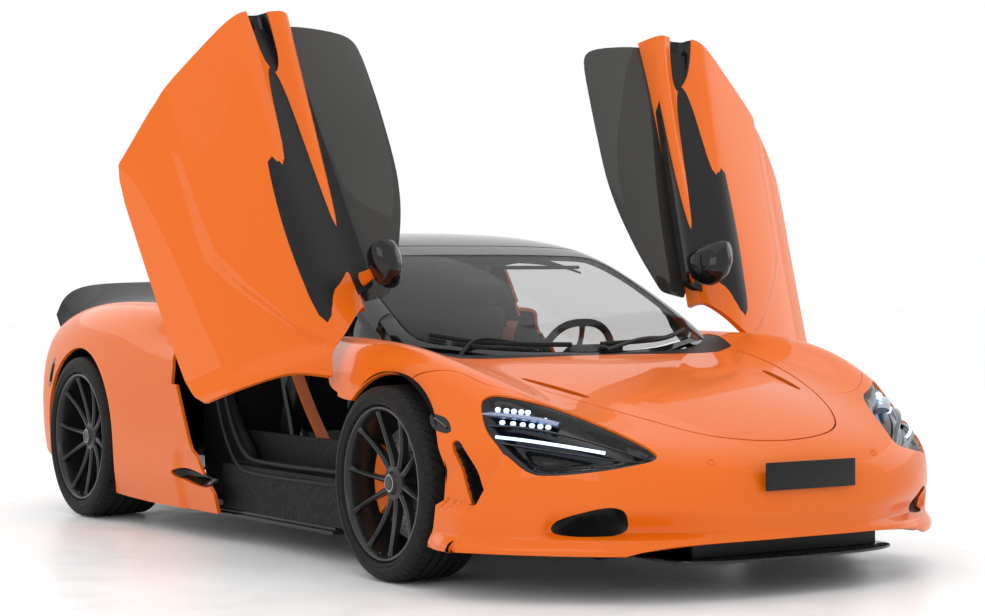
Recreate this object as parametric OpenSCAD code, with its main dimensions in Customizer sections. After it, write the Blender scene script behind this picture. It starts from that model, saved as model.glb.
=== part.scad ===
// Mid-engined two-seat supercar with a retractable hard top and upward-swinging doors.
// Frame: +Z up, the front faces -Y, the driver's left is +X. Units are millimetres.
// The origin is on the floor at the middle of the length and width.

/* [Body] */
// width of the body over the wheel arches
body_width = 1930; // [1880:5:1980]
// thickness of the bonnet, bumper and fender panels
skin = 24; // [16:1:32]
// thickness of a whole door, outer skin to trim
door_thick = 62; // [45:1:80]
// gap between neighbouring panels
panel_gap = 5; // [4:0.5:8]
// thickness of the window glass
glass_thick = 6; // [4:0.5:8]

/* [Doors] */
// how far the doors stand open at rest, in degrees
door_open = 86; // [0:1:86]

/* [Wheels] */
// distance between the middles of the front tyres
front_track = 1680; // [1660:2:1700]
// distance between the middles of the rear tyres
rear_track = 1629; // [1610:1:1640]
// outside diameter of the front tyres
front_tyre_d = 654; // [640:1:660]
// width of the front tyres
front_tyre_w = 245; // [235:1:255]
// outside diameter of the rear tyres
rear_tyre_d = 691; // [680:1:700]
// width of the rear tyres
rear_tyre_w = 305; // [295:1:315]
// number of spokes in each wheel
spokes = 10; // [5:1:12]

/* [Cabin] */
// distance between the middles of the two seats
seat_spacing = 740; // [700:5:780]
// diameter of the steering wheel
steering_wheel_d = 360; // [340:5:380]

/* [Hidden] */
YF = -1209.5;
WB = 2670;
YR = YF + WB;
KX = body_width / 1930;
FZ = front_tyre_d / 2;
RZ = rear_tyre_d / 2;
FX = front_track / 2;
RX = rear_track / 2;
// screwed towing eyes: their place in the two cross members
TOW_X = 300;
FRONT_TOW_Z = 310;
REAR_TOW_Z = 320;
HINGE = [960, YF + 272, 600];
HINGE_AXIS = [1.326, -1.225, -1];
$fn = 48;

// Control rows of the body skin: [distance behind the front axle, bow, [[x, z], ...]].
BODY_ROWS = [
    [-1040, 560, [
        [0, 150], [150, 150], [300, 150], [430, 150], [540, 150], [640, 150], [720, 150], [790, 150],
        [835, 150], [870, 150], [900, 150], [920, 150], [932, 150], [940, 150], [945, 150]
    ]],
    [-1055, 560, [
        [0, 220], [150, 220], [300, 220], [430, 220], [540, 220], [640, 220], [720, 220], [790, 220],
        [835, 220], [872, 218], [902, 215], [925, 205], [937, 190], [944, 170], [948, 150]
    ]],
    [-1060, 550, [
        [0, 310], [150, 310], [300, 310], [430, 310], [540, 312], [640, 314], [720, 316], [790, 316],
        [835, 312], [875, 300], [908, 280], [930, 250], [942, 220], [948, 185], [950, 150]
    ]],
    [-1045, 540, [
        [0, 400], [150, 400], [300, 400], [430, 402], [540, 406], [640, 410], [720, 412], [790, 405],
        [838, 390], [880, 365], [914, 330], [936, 285], [947, 240], [951, 195], [950, 150]
    ]],
    [-985, 500, [
        [0, 462], [150, 460], [300, 458], [430, 458], [540, 465], [640, 478], [725, 485], [795, 475],
        [842, 450], [884, 415], [918, 370], [940, 315], [950, 260], [953, 205], [950, 150]
    ]],
    [-870, 430, [
        [0, 520], [160, 518], [310, 512], [440, 508], [550, 518], [650, 540], [735, 552], [802, 540],
        [848, 510], [888, 465], [922, 410], [943, 345], [952, 280], [954, 215], [950, 150]
    ]],
    [-700, 330, [
        [0, 585], [180, 582], [330, 572], [460, 562], [575, 574], [670, 605], [750, 622], [814, 610],
        [858, 575], [896, 520], [928, 450], [946, 375], [954, 300], [955, 225], [950, 150]
    ]],
    [-500, 220, [
        [0, 642], [200, 638], [360, 626], [495, 612], [610, 625], [700, 662], [775, 686], [832, 672],
        [872, 632], [906, 570], [932, 490], [948, 405], [955, 320], [955, 235], [948, 150]
    ]],
    [-270, 110, [
        [0, 682], [220, 678], [400, 666], [540, 655], [650, 678], [735, 722], [805, 742], [856, 726],
        [890, 684], [916, 618], [936, 530], [950, 435], [956, 340], [955, 245], [945, 150]
    ]],
    [0, 30, [
        [0, 722], [240, 718], [430, 708], [570, 704], [675, 735], [757, 776], [822, 786], [868, 766],
        [898, 722], [920, 652], [938, 560], [951, 460], [956, 355], [953, 250], [940, 150]
    ]],
    [260, 0, [
        [0, 752], [260, 750], [460, 748], [600, 752], [700, 784], [775, 800], [832, 796], [872, 770],
        [898, 724], [916, 656], [932, 566], [945, 465], [950, 355], [946, 245], [930, 140]
    ]],
    [520, 0, [
        [0, 770], [280, 770], [480, 770], [625, 776], [715, 800], [775, 806], [818, 786], [850, 750],
        [874, 702], [896, 636], [916, 556], [932, 460], [940, 350], [936, 235], [915, 120]
    ]],
    [850, 0, [
        [0, 780], [300, 780], [500, 784], [650, 800], [735, 818], [785, 806], [800, 768], [828, 722],
        [862, 690], [888, 630], [908, 550], [924, 455], [932, 345], [930, 225], [905, 110]
    ]],
    [1250, 0, [
        [0, 800], [300, 800], [510, 810], [670, 834], [760, 846], [800, 822], [790, 770], [820, 722],
        [878, 700], [896, 635], [910, 550], [922, 450], [932, 340], [932, 225], [905, 110]
    ]],
    [1650, 0, [
        [0, 845], [300, 850], [520, 862], [690, 874], [785, 876], [822, 852], [790, 790], [822, 740],
        [902, 722], [914, 650], [920, 560], [928, 460], [936, 350], [936, 230], [905, 110]
    ]],
    [2000, 0, [
        [0, 860], [300, 872], [520, 890], [690, 905], [795, 908], [850, 885], [880, 840], [905, 790],
        [922, 735], [934, 665], [940, 575], [944, 470], [948, 360], [944, 240], [910, 110]
    ]],
    [2350, 0, [
        [0, 880], [300, 888], [520, 902], [680, 920], [790, 930], [868, 905], [912, 850], [936, 790],
        [950, 725], [960, 650], [966, 560], [968, 460], [966, 355], [956, 240], [915, 120]
    ]],
    [2670, -20, [
        [0, 895], [300, 896], [510, 904], [665, 920], [775, 932], [860, 910], [910, 860], [938, 800],
        [954, 735], [964, 660], [970, 570], [970, 470], [966, 365], [956, 255], [925, 150]
    ]],
    [2950, -60, [
        [0, 895], [290, 893], [490, 896], [640, 904], [745, 912], [830, 896], [885, 852], [918, 798],
        [940, 738], [954, 668], [962, 585], [964, 490], [960, 390], [950, 285], [930, 190]
    ]],
    [3200, -150, [
        [0, 885], [280, 882], [470, 880], [615, 880], [720, 882], [800, 868], [855, 832], [892, 786],
        [918, 732], [936, 668], [946, 592], [950, 505], [948, 410], [940, 315], [925, 230]
    ]],
    [3380, -240, [
        [0, 865], [270, 862], [455, 858], [595, 856], [700, 852], [778, 838], [832, 806], [872, 764],
        [900, 714], [920, 656], [932, 588], [938, 508], [936, 420], [930, 335], [915, 260]
    ]],
    [3440, -290, [
        [0, 835], [260, 832], [445, 828], [585, 824], [690, 818], [768, 804], [822, 776], [862, 738],
        [892, 692], [912, 640], [924, 578], [930, 506], [928, 428], [922, 350], [908, 280]
    ]],
    [3440, -300, [
        [0, 730], [260, 730], [445, 728], [585, 724], [690, 718], [768, 706], [822, 684], [862, 654],
        [890, 620], [908, 580], [918, 532], [922, 478], [920, 420], [914, 360], [904, 300]
    ]],
    [3410, -300, [
        [0, 560], [260, 560], [445, 560], [585, 558], [690, 554], [768, 548], [820, 536], [858, 520],
        [884, 500], [900, 476], [908, 446], [911, 412], [910, 376], [906, 340], [898, 305]
    ]],
    [3380, -300, [
        [0, 420], [260, 420], [445, 420], [585, 420], [690, 418], [765, 414], [815, 408], [850, 400],
        [872, 390], [886, 378], [893, 364], [896, 350], [896, 336], [893, 322], [888, 310]
    ]],
];
// Control rows of the canopy: windscreen, side glass, roof and rear deck.
CANOPY_ROWS = [
    [90, 240, [
        [0, 700], [240, 700], [450, 705], [600, 715], [685, 725], [722, 720], [745, 700]
    ]],
    [170, 240, [
        [0, 757], [240, 765], [450, 785], [600, 803], [688, 812], [722, 775], [744, 715]
    ]],
    [400, 230, [
        [0, 882], [240, 888], [450, 900], [600, 918], [668, 926], [716, 850], [744, 735]
    ]],
    [650, 200, [
        [0, 995], [235, 1000], [440, 1012], [580, 1028], [634, 1030], [702, 900], [744, 755]
    ]],
    [850, 170, [
        [0, 1078], [230, 1082], [430, 1090], [560, 1098], [608, 1096], [688, 945], [742, 775]
    ]],
    [1050, 110, [
        [0, 1147], [225, 1149], [425, 1148], [548, 1142], [594, 1122], [680, 965], [742, 792]
    ]],
    [1250, 40, [
        [0, 1190], [225, 1189], [422, 1180], [542, 1160], [590, 1130], [680, 975], [745, 805]
    ]],
    [1450, 0, [
        [0, 1202], [225, 1200], [420, 1190], [540, 1165], [590, 1130], [682, 980], [750, 815]
    ]],
    [1700, 0, [
        [0, 1196], [225, 1194], [416, 1184], [535, 1158], [585, 1122], [680, 980], [752, 830]
    ]],
    [1950, 0, [
        [0, 1172], [220, 1170], [408, 1158], [522, 1132], [572, 1096], [665, 975], [740, 848]
    ]],
    [2250, 0, [
        [0, 1115], [215, 1113], [395, 1102], [500, 1078], [545, 1048], [630, 960], [700, 870]
    ]],
    [2600, 0, [
        [0, 1030], [205, 1028], [370, 1018], [465, 1000], [505, 980], [580, 930], [640, 880]
    ]],
    [2950, 0, [
        [0, 945], [190, 943], [335, 936], [418, 926], [450, 915], [520, 895], [570, 875]
    ]],
    [3150, 0, [
        [0, 880], [180, 880], [310, 876], [390, 872], [420, 868], [480, 862], [530, 855]
    ]],
];

// ---- surface helpers -------------------------------------------------
function bas(t) = [pow(1 - t, 3) / 6, (3 * t * t * t - 6 * t * t + 4) / 6,
    (-3 * t * t * t + 3 * t * t + 3 * t + 1) / 6, pow(t, 3) / 6];
function spl(q, t) = let (i = min(floor(t), len(q) - 4), b = bas(t - i))
    b[0] * q[i] + b[1] * q[i + 1] + b[2] * q[i + 2] + b[3] * q[i + 3];
function ghosted(q) = concat([2 * q[0] - q[1]], q, [2 * q[len(q) - 1] - q[len(q) - 2]]);
function mirrored_end(q) = concat([[-q[1][0], q[1][1], q[1][2]]], q,
    [2 * q[len(q) - 1] - q[len(q) - 2]]);
function row3(r, h, e) = [for (p = r[2])
    [p[0] * KX, YF + r[0] + r[1] * pow(p[0] / h, e), p[1]]];
function steps(n, k) = [for (i = [0 : n * k]) i / k];
// n control rows give n - 1 spans; ku and kv are the samples a span
function sheet(rows, h, e, us, vs) = let (
    cr = ghosted([for (r = rows) let (q = mirrored_end(row3(r, h, e))) [for (v = vs) spl(q, v)]]))
    [for (u = us) spl(cr, u)];
// the skin is sampled finer along the middle of the car and near its centreline
function body_us() = concat([for (i = [0 : 7]) i], [for (i = [8 : 0.5 : 17.5]) i],
    [for (i = [18 : 24]) i]);
function body_vs() = concat([for (j = [0 : 0.5 : 2.5]) j], [for (j = [3 : 14]) j]);
function half_body() = sheet(BODY_ROWS, 950, 3, body_us(), body_vs());
function half_canopy(ku, kv) = sheet(CANOPY_ROWS, 700, 2, steps(len(CANOPY_ROWS) - 1, ku),
    steps(len(CANOPY_ROWS[0][2]) - 1, kv));
function both(g) = [for (r = g) concat([for (i = [len(r) - 1 : -1 : 1])
    [-r[i][0], r[i][1], r[i][2]]], r)];
// inner copy of the body skin, t behind it
function inset_body(g, t) = [for (r = g) [for (p = r)
    [p[0] * (1 - t / 950), p[1] * (1 - t / 2260), 100 + (p[2] - 100) * (1 - t / 760)]]];
function inset_canopy(g, t) = [for (r = g) [for (p = r)
    [p[0] * (1 - t / 740), 400 + (p[1] - 400) * (1 - t / 1900),
        640 + (p[2] - 640) * (1 - t / 540)]]];
function dropped(g, z) = [for (r = g) [for (p = r) [p[0], p[1], z]]];
function flat(g) = [for (r = g) for (p = r) p];

module shell(a, b) {
    n = len(a);
    m = len(a[0]);
    k = n * m;
    function id(i, j) = i * m + j;
    f1 = [for (i = [0 : n - 2]) for (j = [0 : m - 2]) each [
        [id(i, j), id(i + 1, j), id(i + 1, j + 1)],
        [id(i, j), id(i + 1, j + 1), id(i, j + 1)]]];
    f2 = [for (f = f1) [k + f[2], k + f[1], k + f[0]]];
    e1 = [for (i = [0 : n - 2]) each [
        [id(i + 1, 0), id(i, 0), k + id(i, 0)], [id(i + 1, 0), k + id(i, 0), k + id(i + 1, 0)],
        [id(i, m - 1), id(i + 1, m - 1), k + id(i + 1, m - 1)],
        [id(i, m - 1), k + id(i + 1, m - 1), k + id(i, m - 1)]]];
    e2 = [for (j = [0 : m - 2]) each [
        [id(0, j), id(0, j + 1), k + id(0, j + 1)], [id(0, j), k + id(0, j + 1), k + id(0, j)],
        [id(n - 1, j + 1), id(n - 1, j), k + id(n - 1, j)],
        [id(n - 1, j + 1), k + id(n - 1, j), k + id(n - 1, j + 1)]]];
    polyhedron(concat(flat(a), flat(b)), concat(f1, f2, e1, e2), convexity = 10);
}
module half_skin(t) { g = half_body(); shell(g, inset_body(g, t)); }
module full_skin(t) { g = both(half_body()); shell(g, inset_body(g, t)); }
module canopy_skin(t) { g = both(half_canopy(2, 2)); shell(g, inset_canopy(g, t)); }
module half_canopy_skin(t) { g = half_canopy(2, 2); shell(g, inset_canopy(g, t)); }
// everything under the canopy, grown by the panel gap
module canopy_solid(grow) {
    g = inset_canopy(both(half_canopy(2, 2)), -grow);
    shell(g, dropped(g, 400));
}
// booleans on the faceted skins run on meshes
module meshed() { resize([0, 0, 0]) children(); }
// outline in (distance behind the front axle, z), from x0 outwards
module side(pts, x0, x1, grow = 0) {
    translate([x0, YF, 0]) rotate([90, 0, 90]) linear_extrude(x1 - x0)
        offset(delta = grow) polygon(pts);
}
// outline in (x, distance behind the front axle)
module plan(pts, z0, z1, grow = 0) {
    translate([0, YF, z0]) linear_extrude(z1 - z0) offset(delta = grow) polygon(pts);
}
// outline in (x, z), from y0 to y1
module front(pts, s0, s1, grow = 0) {
    translate([0, YF + s1, 0]) rotate([90, 0, 0]) linear_extrude(s1 - s0)
        offset(delta = grow) polygon(pts);
}
module arch(s, z, r, x0) {
    translate([x0, YF + s, z]) rotate([0, 90, 0]) cylinder(r = r, h = 600, $fn = 72);
}
module pair() {
    children();
    mirror([1, 0, 0]) children();
}
module box(x0, x1, s0, s1, z0, z1) {
    translate([x0, YF + s0, z0]) cube([x1 - x0, s1 - s0, z1 - z0]);
}
function twoside(p) = concat(p, [for (i = [len(p) - 1 : -1 : 0]) [-p[i][0], p[i][1]]]);

// ---- panel outlines --------------------------------------------------
BONNET = twoside([[0, -940], [120, -930], [230, -893], [310, -830], [400, -690],
    [490, -500], [565, -300], [605, -120], [620, 20], [622, 150], [300, 106], [0, 95]]);
COWL = twoside([[0, 100], [300, 111], [628, 156], [640, 200], [690, 330], [690, 420],
    [0, 420]]);
DOOR = [[360, 612], [385, 560], [408, 500], [418, 440], [414, 280], [402, 100],
    [1325, 100], [1390, 175], [1551, 343], [1670, 520], [1757, 659], [1785, 750],
    [1778, 840], [1752, 940], [650, 940], [622, 830], [600, 790], [560, 752], [505, 700],
    [470, 654], [450, 636], [410, 622]];
GLASS = [[640, 790], [650, 906], [676, 926], [810, 1000], [975, 1066], [1130, 1100],
    [1400, 1118], [1640, 1120], [1700, 1090], [1746, 900], [1750, 790]];
GLASS_PLAN = [[1100, 300], [690, 300], [664, 600], [630, 812], [602, 980], [588, 1130],
    [580, 1400], [574, 1700], [560, 1800], [1100, 1800]];
HEADLIGHT = [[832, 612], [800, 632], [762, 630], [700, 612], [628, 590], [545, 530],
    [480, 462], [500, 442], [560, 430], [651, 412], [788, 393], [822, 408], [850, 465],
    [856, 531]];
WINDSCREEN = twoside([[0, 150], [300, 192], [560, 312], [622, 380], [612, 560],
    [590, 740], [562, 900], [520, 950], [300, 930], [0, 920]]);
FRAME = twoside([[0, 120], [300, 160], [620, 330], [700, 380], [760, 560], [760, 1094],
    [620, 1074], [560, 1060], [300, 1040], [0, 1030]]);
ROOF = twoside([[0, 1036], [300, 1046], [560, 1066], [620, 1080], [700, 1100],
    [700, 1640], [0, 1640]]);

// ---- outer panels ----------------------------------------------------
module bonnet() {
    color([0.92, 0.36, 0.05]) meshed() difference() {
        intersection() { full_skin(skin); plan(BONNET, 300, 1000); }
        canopy_solid(panel_gap);
        pair() plan([[500, -470], [548, -440], [640, -60], [610, -40]], 300, 1000);
    }
}
module bumper_zone(grow) {
    plan(twoside([[0, -1400], [1100, -1400], [1100, -60], [905, -95], [868, -190],
        [815, -290], [790, -420], [640, -560], [500, -520], [0, -520]]), 0, 1000, grow);
}
module front_bumper() {
    color([0.92, 0.36, 0.05]) meshed() difference() {
        intersection() { full_skin(skin); bumper_zone(0); }
        plan(BONNET, 300, 1000, panel_gap + 1);
        pair() {
            front(HEADLIGHT, -1000, -380, 2);
            arch(0, 327, 365, 540);
            side([[-392, 478], [-430, 493], [-508, 404], [-560, 321], [-525, 297]], 780, 1100);
            front([[560, 214], [600, 292], [650, 300], [742, 262], [758, 224], [735, 206]],
                -1200, -700);
        }
        translate([TOW_X, YF - 1200, FRONT_TOW_Z]) rotate([-90, 0, 0]) cylinder(r = 15, h = 300);
    }
}
module front_fender() {
    color([0.92, 0.36, 0.05]) meshed() difference() {
        intersection() {
            half_skin(skin);
            box(400, 1100, -600, 700, 0, 1000);
        }
        bumper_zone(panel_gap);
        plan(BONNET, 300, 1000, panel_gap + 1);
        plan(COWL, 300, 1000, panel_gap);
        front(HEADLIGHT, -1000, -380, 2);
        canopy_solid(panel_gap);
        arch(0, 327, 365, 540);
        side(DOOR, 300, 1100, panel_gap);
        // the path of the door's front corner as it swings
        for (a = [4 : 4 : 86], m = [[0, -12, -7], [11, -8, 3], [-9, -8, -7]])
            translate(m) turned(a) intersection() {
                door_panel();
                box(600, 1100, 300, 760, 440, 1000);
            }
        side([[200, 0], [700, 0], [700, 700], [500, 640], [345, 596], [200, 592]], 300, 1100);
    }
}
module cowl() {
    color([0.05, 0.05, 0.05]) meshed() difference() {
        intersection() { full_skin(14); plan(COWL, 300, 1000, -1); }
        canopy_solid(panel_gap);
    }
}
module door_panel() {
    meshed() difference() {
        intersection() {
            half_skin(door_thick);
            side(DOOR, 300, 1100);
        }
        canopy_solid(panel_gap);
    }
}
module glass_zone(grow) {
    intersection() {
        side(GLASS, 300, 1100, grow);
        plan(GLASS_PLAN, 0, 1400, grow);
    }
}
module door_glass() {
    meshed() intersection() {
        half_canopy_skin(glass_thick);
        glass_zone(0);
        box(300, 1100, 500, 1800, 792, 1300);
    }
}
module door_mirror() {
    meshed() {
        hull() {
            translate([905, YF + 690, 930]) scale([1, 0.55, 0.62]) sphere(95, $fn = 20);
            translate([830, YF + 700, 925]) scale([0.5, 0.5, 0.5]) sphere(90, $fn = 16);
        }
        hull() {
            translate([815, YF + 700, 900]) cube([24, 40, 40], center = true);
            translate([762, YF + 700, 832]) cube([24, 70, 20], center = true);
        }
    }
}
module turned(a) {
    translate(HINGE) rotate(a = a, v = HINGE_AXIS) translate(-HINGE) children();
}
module opened() { turned(door_open) children(); }
module left_door() { color([0.92, 0.36, 0.05]) opened() door_panel(); }
module right_door() { color([0.92, 0.36, 0.05]) mirror([1, 0, 0]) opened() door_panel(); }
module left_door_glass() { color([0.15, 0.16, 0.15, 0.6]) opened() door_glass(); }
module right_door_glass() {
    color([0.15, 0.16, 0.15, 0.6]) mirror([1, 0, 0]) opened() door_glass();
}
module left_door_mirror() { color([0.05, 0.05, 0.05]) opened() door_mirror(); }
module right_door_mirror() { color([0.05, 0.05, 0.05]) mirror([1, 0, 0]) opened() door_mirror(); }
module left_front_fender() { front_fender(); }
module right_front_fender() { mirror([1, 0, 0]) front_fender(); }
module rear_fender() {
    color([0.92, 0.36, 0.05]) meshed() difference() {
        intersection() {
            half_skin(skin);
            box(500, 1100, 1000, 3090, 0, 1000);
        }
        side(DOOR, 300, 1100, panel_gap);
        box(300, 1100, 900, 1760, 600, 1000);
        box(300, 1100, 900, 1400, 0, 1000);
        canopy_solid(panel_gap);
        arch(2670, 345.5, 382, 500);
        side([[1370, 230], [1475, 195], [1800, 244], [1642, 281]], 780, 1100);
    }
}
module left_rear_fender() { rear_fender(); }
module right_rear_fender() { mirror([1, 0, 0]) rear_fender(); }
module rear_bumper() {
    color([0.92, 0.36, 0.05]) meshed() difference() {
        intersection() {
            full_skin(skin);
            box(-1100, 1100, 3096, 3700, 0, 1000);
        }
        canopy_solid(panel_gap);
        box(-1100, 1100, 3096, 3205, 760, 1000);
        pair() front([[500, 735], [880, 700], [884, 640], [500, 690]], 3230, 3700, 2);
        front([[-330, 680], [330, 680], [330, 780], [-330, 780]], 3250, 3700, 2);
        front([[-620, 300], [620, 300], [560, 400], [-560, 400]], 3250, 3700);
    }
}
module rear_deck() {
    color([0.92, 0.36, 0.05]) meshed() difference() {
        union() {
            intersection() {
                canopy_skin(30);
                box(-900, 900, 1646, 3120, 860, 1400);
            }
            intersection() {
                full_skin(skin);
                box(-494, 494, 2950, 3200, 700, 1000);
            }
        }
        pair() glass_zone(panel_gap);
        pair() side(DOOR, 300, 1100, panel_gap);
        plan([[-360, 1680], [360, 1680], [330, 2300], [-330, 2300]], 700, 1400, 2);
        pair() plan([[380, 2000], [460, 2000], [420, 2700], [350, 2700]], 700, 1400);
    }
}
module rear_window() {
    color([0.15, 0.16, 0.15, 0.6]) meshed() intersection() {
        canopy_skin(glass_thick);
        plan([[-360, 1680], [360, 1680], [330, 2300], [-330, 2300]], 700, 1400);
    }
}
module windscreen() {
    color([0.15, 0.16, 0.15, 0.6]) meshed() intersection() {
        canopy_skin(glass_thick);
        plan(WINDSCREEN, 700, 1400);
    }
}
module windscreen_frame() {
    color([0.05, 0.05, 0.05]) meshed() difference() {
        intersection() {
            canopy_skin(30);
            plan(FRAME, 735, 1400);
        }
        plan(WINDSCREEN, 700, 1400, 2);
        pair() glass_zone(panel_gap);
        pair() side([[560, 700], [616, 820], [622, 880], [1800, 880], [1800, 700]], 300, 1100);
        pair() side(DOOR, 300, 1100, panel_gap + 6);
        plan(COWL, 300, 770, 12);
    }
}
module roof_panel() {
    color([0.05, 0.05, 0.05]) meshed() difference() {
        intersection() {
            canopy_skin(34);
            plan(ROOF, 700, 1400);
        }
        pair() glass_zone(panel_gap);
        pair() side([[1000, 700], [1800, 700], [1800, 1080], [1000, 1080]], 300, 1100);
    }
}

// ---- lights, aero and trim ------------------------------------------
module headlights() {
    color([0.05, 0.05, 0.06]) meshed() pair() intersection() {
        half_skin(16);
        front(HEADLIGHT, -1000, -380, -2);
    }
}
module tail_lights() {
    color([0.5, 0.02, 0.02]) meshed() pair() intersection() {
        half_skin(14);
        front([[500, 735], [880, 700], [884, 640], [500, 690]], 3250, 3700, -2);
    }
}
module front_splitter() {
    color([0.05, 0.05, 0.05]) plan(twoside([[0, -1075], [200, -1071], [400, -1049],
        [600, -994], [760, -890], [850, -760], [886, -600], [860, -420], [600, -420],
        [520, -640], [0, -700]]), 112, 128);
}
module undertray() {
    color([0.08, 0.08, 0.08]) plan(twoside([[0, -685], [510, -625], [500, -400],
        [500, 400], [690, 460], [690, 2200], [620, 2260], [620, 3100], [0, 3100]]), 106, 122);
}
module side_skirts() {
    color([0.05, 0.05, 0.05]) pair() plan([[700, 560], [834, 560], [834, 1420], [844, 1500], [850, 2200],
        [700, 2200]], 98, 124);
}
module rear_diffuser() {
    color([0.05, 0.05, 0.05]) {
        side([[3106, 130], [3460, 262], [3460, 276], [3106, 146]], -560, 560);
        for (x = [-450, -270, -90, 90, 270, 450])
            side([[3150, 120], [3470, 180], [3470, 262], [3150, 146]], x - 5, x + 5);
    }
}
module exhaust_pipes() {
    color([0.55, 0.55, 0.57]) pair() translate([130, YF + 3120, 728]) rotate([-90, 0, 0])
        difference() {
            cylinder(r = 46, h = 322);
            translate([0, 0, 20]) cylinder(r = 42, h = 322);
        }
}
module number_plate() {
    color([0.03, 0.03, 0.03]) {
        box(-180, 180, -1072, -1066, 338, 426);
        box(-80, 80, -1066, -1053, 338, 344);
    }
}
WING = [[0, 3225, 3494, 0], [300, 3235, 3492, -2], [520, 3262, 3486, -10],
    [640, 3300, 3478, -32], [710, 3335, 3468, -78], [752, 3352, 3456, -150]];
module rear_wing() {
    g = both([for (t = [0 : 0.2 : 1]) [for (w = WING)
        [w[0], YF + w[1] + t * (w[2] - w[1]), 918 + w[3] + 96 * pow(t, 1.4)]]]);
    h = [for (i = [0 : len(g) - 1]) [for (p = g[i])
        [p[0] * 0.985, p[1], p[2] - 6 - 14 * sin(180 * min(1, 0.1 + i / (len(g) - 1)))]]];
    color([0.05, 0.05, 0.05]) {
        meshed() shell(g, h);
        pair() translate([290, YF + 3290, 905]) cube([14, 90, 40], center = true);
    }
}

// ---- chassis and cabin ----------------------------------------------
module chassis_tub() {
    color([0.07, 0.07, 0.07]) {
        box(-690, 690, 430, 1640, 128, 160);
        pair() box(690, 838, 430, 1470, 128, 300);
        pair() box(690, 720, 430, 1640, 300, 420);
        box(-540, 540, 232, 262, 128, 620);
        box(-545, 545, 262, 430, 128, 160);
        box(-700, 700, 1610, 1640, 160, 780);
        pair() box(660, 700, 430, 500, 160, 640);
        pair() box(390, 450, -820, 232, 250, 330);
        pair() box(390, 450, 1640, 3060, 250, 330);
        difference() {
            box(-450, 450, -880, -820, 220, 400);
            translate([TOW_X, YF - 900, FRONT_TOW_Z]) rotate([-90, 0, 0]) cylinder(r = 9, h = 100);
        }
        difference() {
            box(-560, 560, 3060, 3110, 220, 420);
            translate([TOW_X, YF + 3030, REAR_TOW_Z]) rotate([-90, 0, 0]) cylinder(r = 9, h = 100);
        }
    }
}
module luggage_tub() {
    color([0.09, 0.09, 0.09]) difference() {
        box(-370, 370, -560, 150, 250, 560);
        box(-358, 358, -548, 138, 262, 600);
    }
}
module seat(x) {
    translate([x, YF, 0]) {
        hull() {
            translate([-210, 900, 170]) cube([420, 20, 130]);
            translate([-200, 1330, 170]) cube([400, 20, 60]);
        }
        hull() {
            translate([-225, 1300, 170]) cube([450, 90, 60]);
            translate([-215, 1470, 700]) cube([430, 60, 40]);
        }
        hull() {
            translate([-150, 1475, 742]) cube([300, 55, 10]);
            translate([-120, 1505, 900]) cube([240, 45, 20]);
        }
        for (m = [-1, 1]) hull() {
            translate([m * 215 - 20, 940, 170]) cube([40, 380, 170]);
            translate([m * 225 - 20, 1330, 170]) cube([40, 120, 260]);
        }
    }
}
module seats() {
    color([0.06, 0.06, 0.06]) {
        seat(seat_spacing / 2);
        seat(-seat_spacing / 2);
    }
}
module dashboard() {
    color([0.05, 0.05, 0.05]) {
        side([[440, 560], [700, 540], [690, 640], [600, 715], [440, 735]], -650, 650);
        side([[600, 165], [1330, 165], [1330, 360], [900, 380], [690, 600], [600, 600]],
            -110, 110);
    }
}
module steering_wheel() {
    color([0.05, 0.05, 0.05]) translate([seat_spacing / 2, YF + 800, 690])
        rotate([-70, 0, 0]) {
            rotate_extrude($fn = 72) translate([steering_wheel_d / 2 - 15, 0]) circle(15);
            cylinder(r = 58, h = 34, center = true);
            for (a = [0, 180, 270]) rotate([0, 0, a]) translate([50, -16, -6])
                cube([steering_wheel_d / 2 - 62, 32, 12]);
            translate([0, 0, -82]) cylinder(r = 24, h = 70);
        }
}
module engine() {
    color([0.3, 0.3, 0.31]) box(-320, 320, 1720, 2500, 180, 640);
}
module arms(s, x0, x1, z) {
    pair() {
        side([[s - 60, z - 80], [s + 60, z - 80], [s + 60, z - 60], [s - 60, z - 60]], x0, x1);
        side([[s - 50, z + 60], [s + 50, z + 60], [s + 50, z + 78], [s - 50, z + 78]], x0, x1);
        box(x0 - 1, x0 + 30, s - 60, s + 60, z - 80, z + 78);
    }
}
module front_suspension() {
    color([0.25, 0.25, 0.27]) arms(0, 456, FX - 156, 327);
}
module caliper(cx, cz, cy, x0, x1, r0, r1) {
    // straddles the disc behind the axle; the slot takes the disc
    translate([cx, cy, cz]) rotate([0, 90, 0]) difference() {
        intersection() {
            translate([0, 0, x0 - cx]) difference() {
                cylinder(r = r1, h = x1 - x0);
                translate([0, 0, -1]) cylinder(r = r0, h = x1 - x0 + 2);
            }
            translate([-95, 40, x0 - cx - 1]) cube([190, 300, x1 - x0 + 2]);
        }
        translate([0, 0, -27]) cylinder(r = r1 - 9, h = 36);
    }
}
module knuckle_front() {
    cx = FX;
    color([0.35, 0.35, 0.37]) {
        translate([cx - 105, YF, FZ - 100]) cylinder(r = 34, h = 200);
        translate([cx - 105, YF, FZ]) rotate([0, 90, 0]) cylinder(r = 44, h = 70);
        box(cx - 105, cx - 48, 20, 130, FZ - 30, FZ + 30);
    }
    color([0.92, 0.36, 0.05]) caliper(cx, FZ, YF, cx - 52, cx + 24, 105, 205);
}
module left_knuckle() { knuckle_front(); }
module right_knuckle() { mirror([1, 0, 0]) knuckle_front(); }
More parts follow.
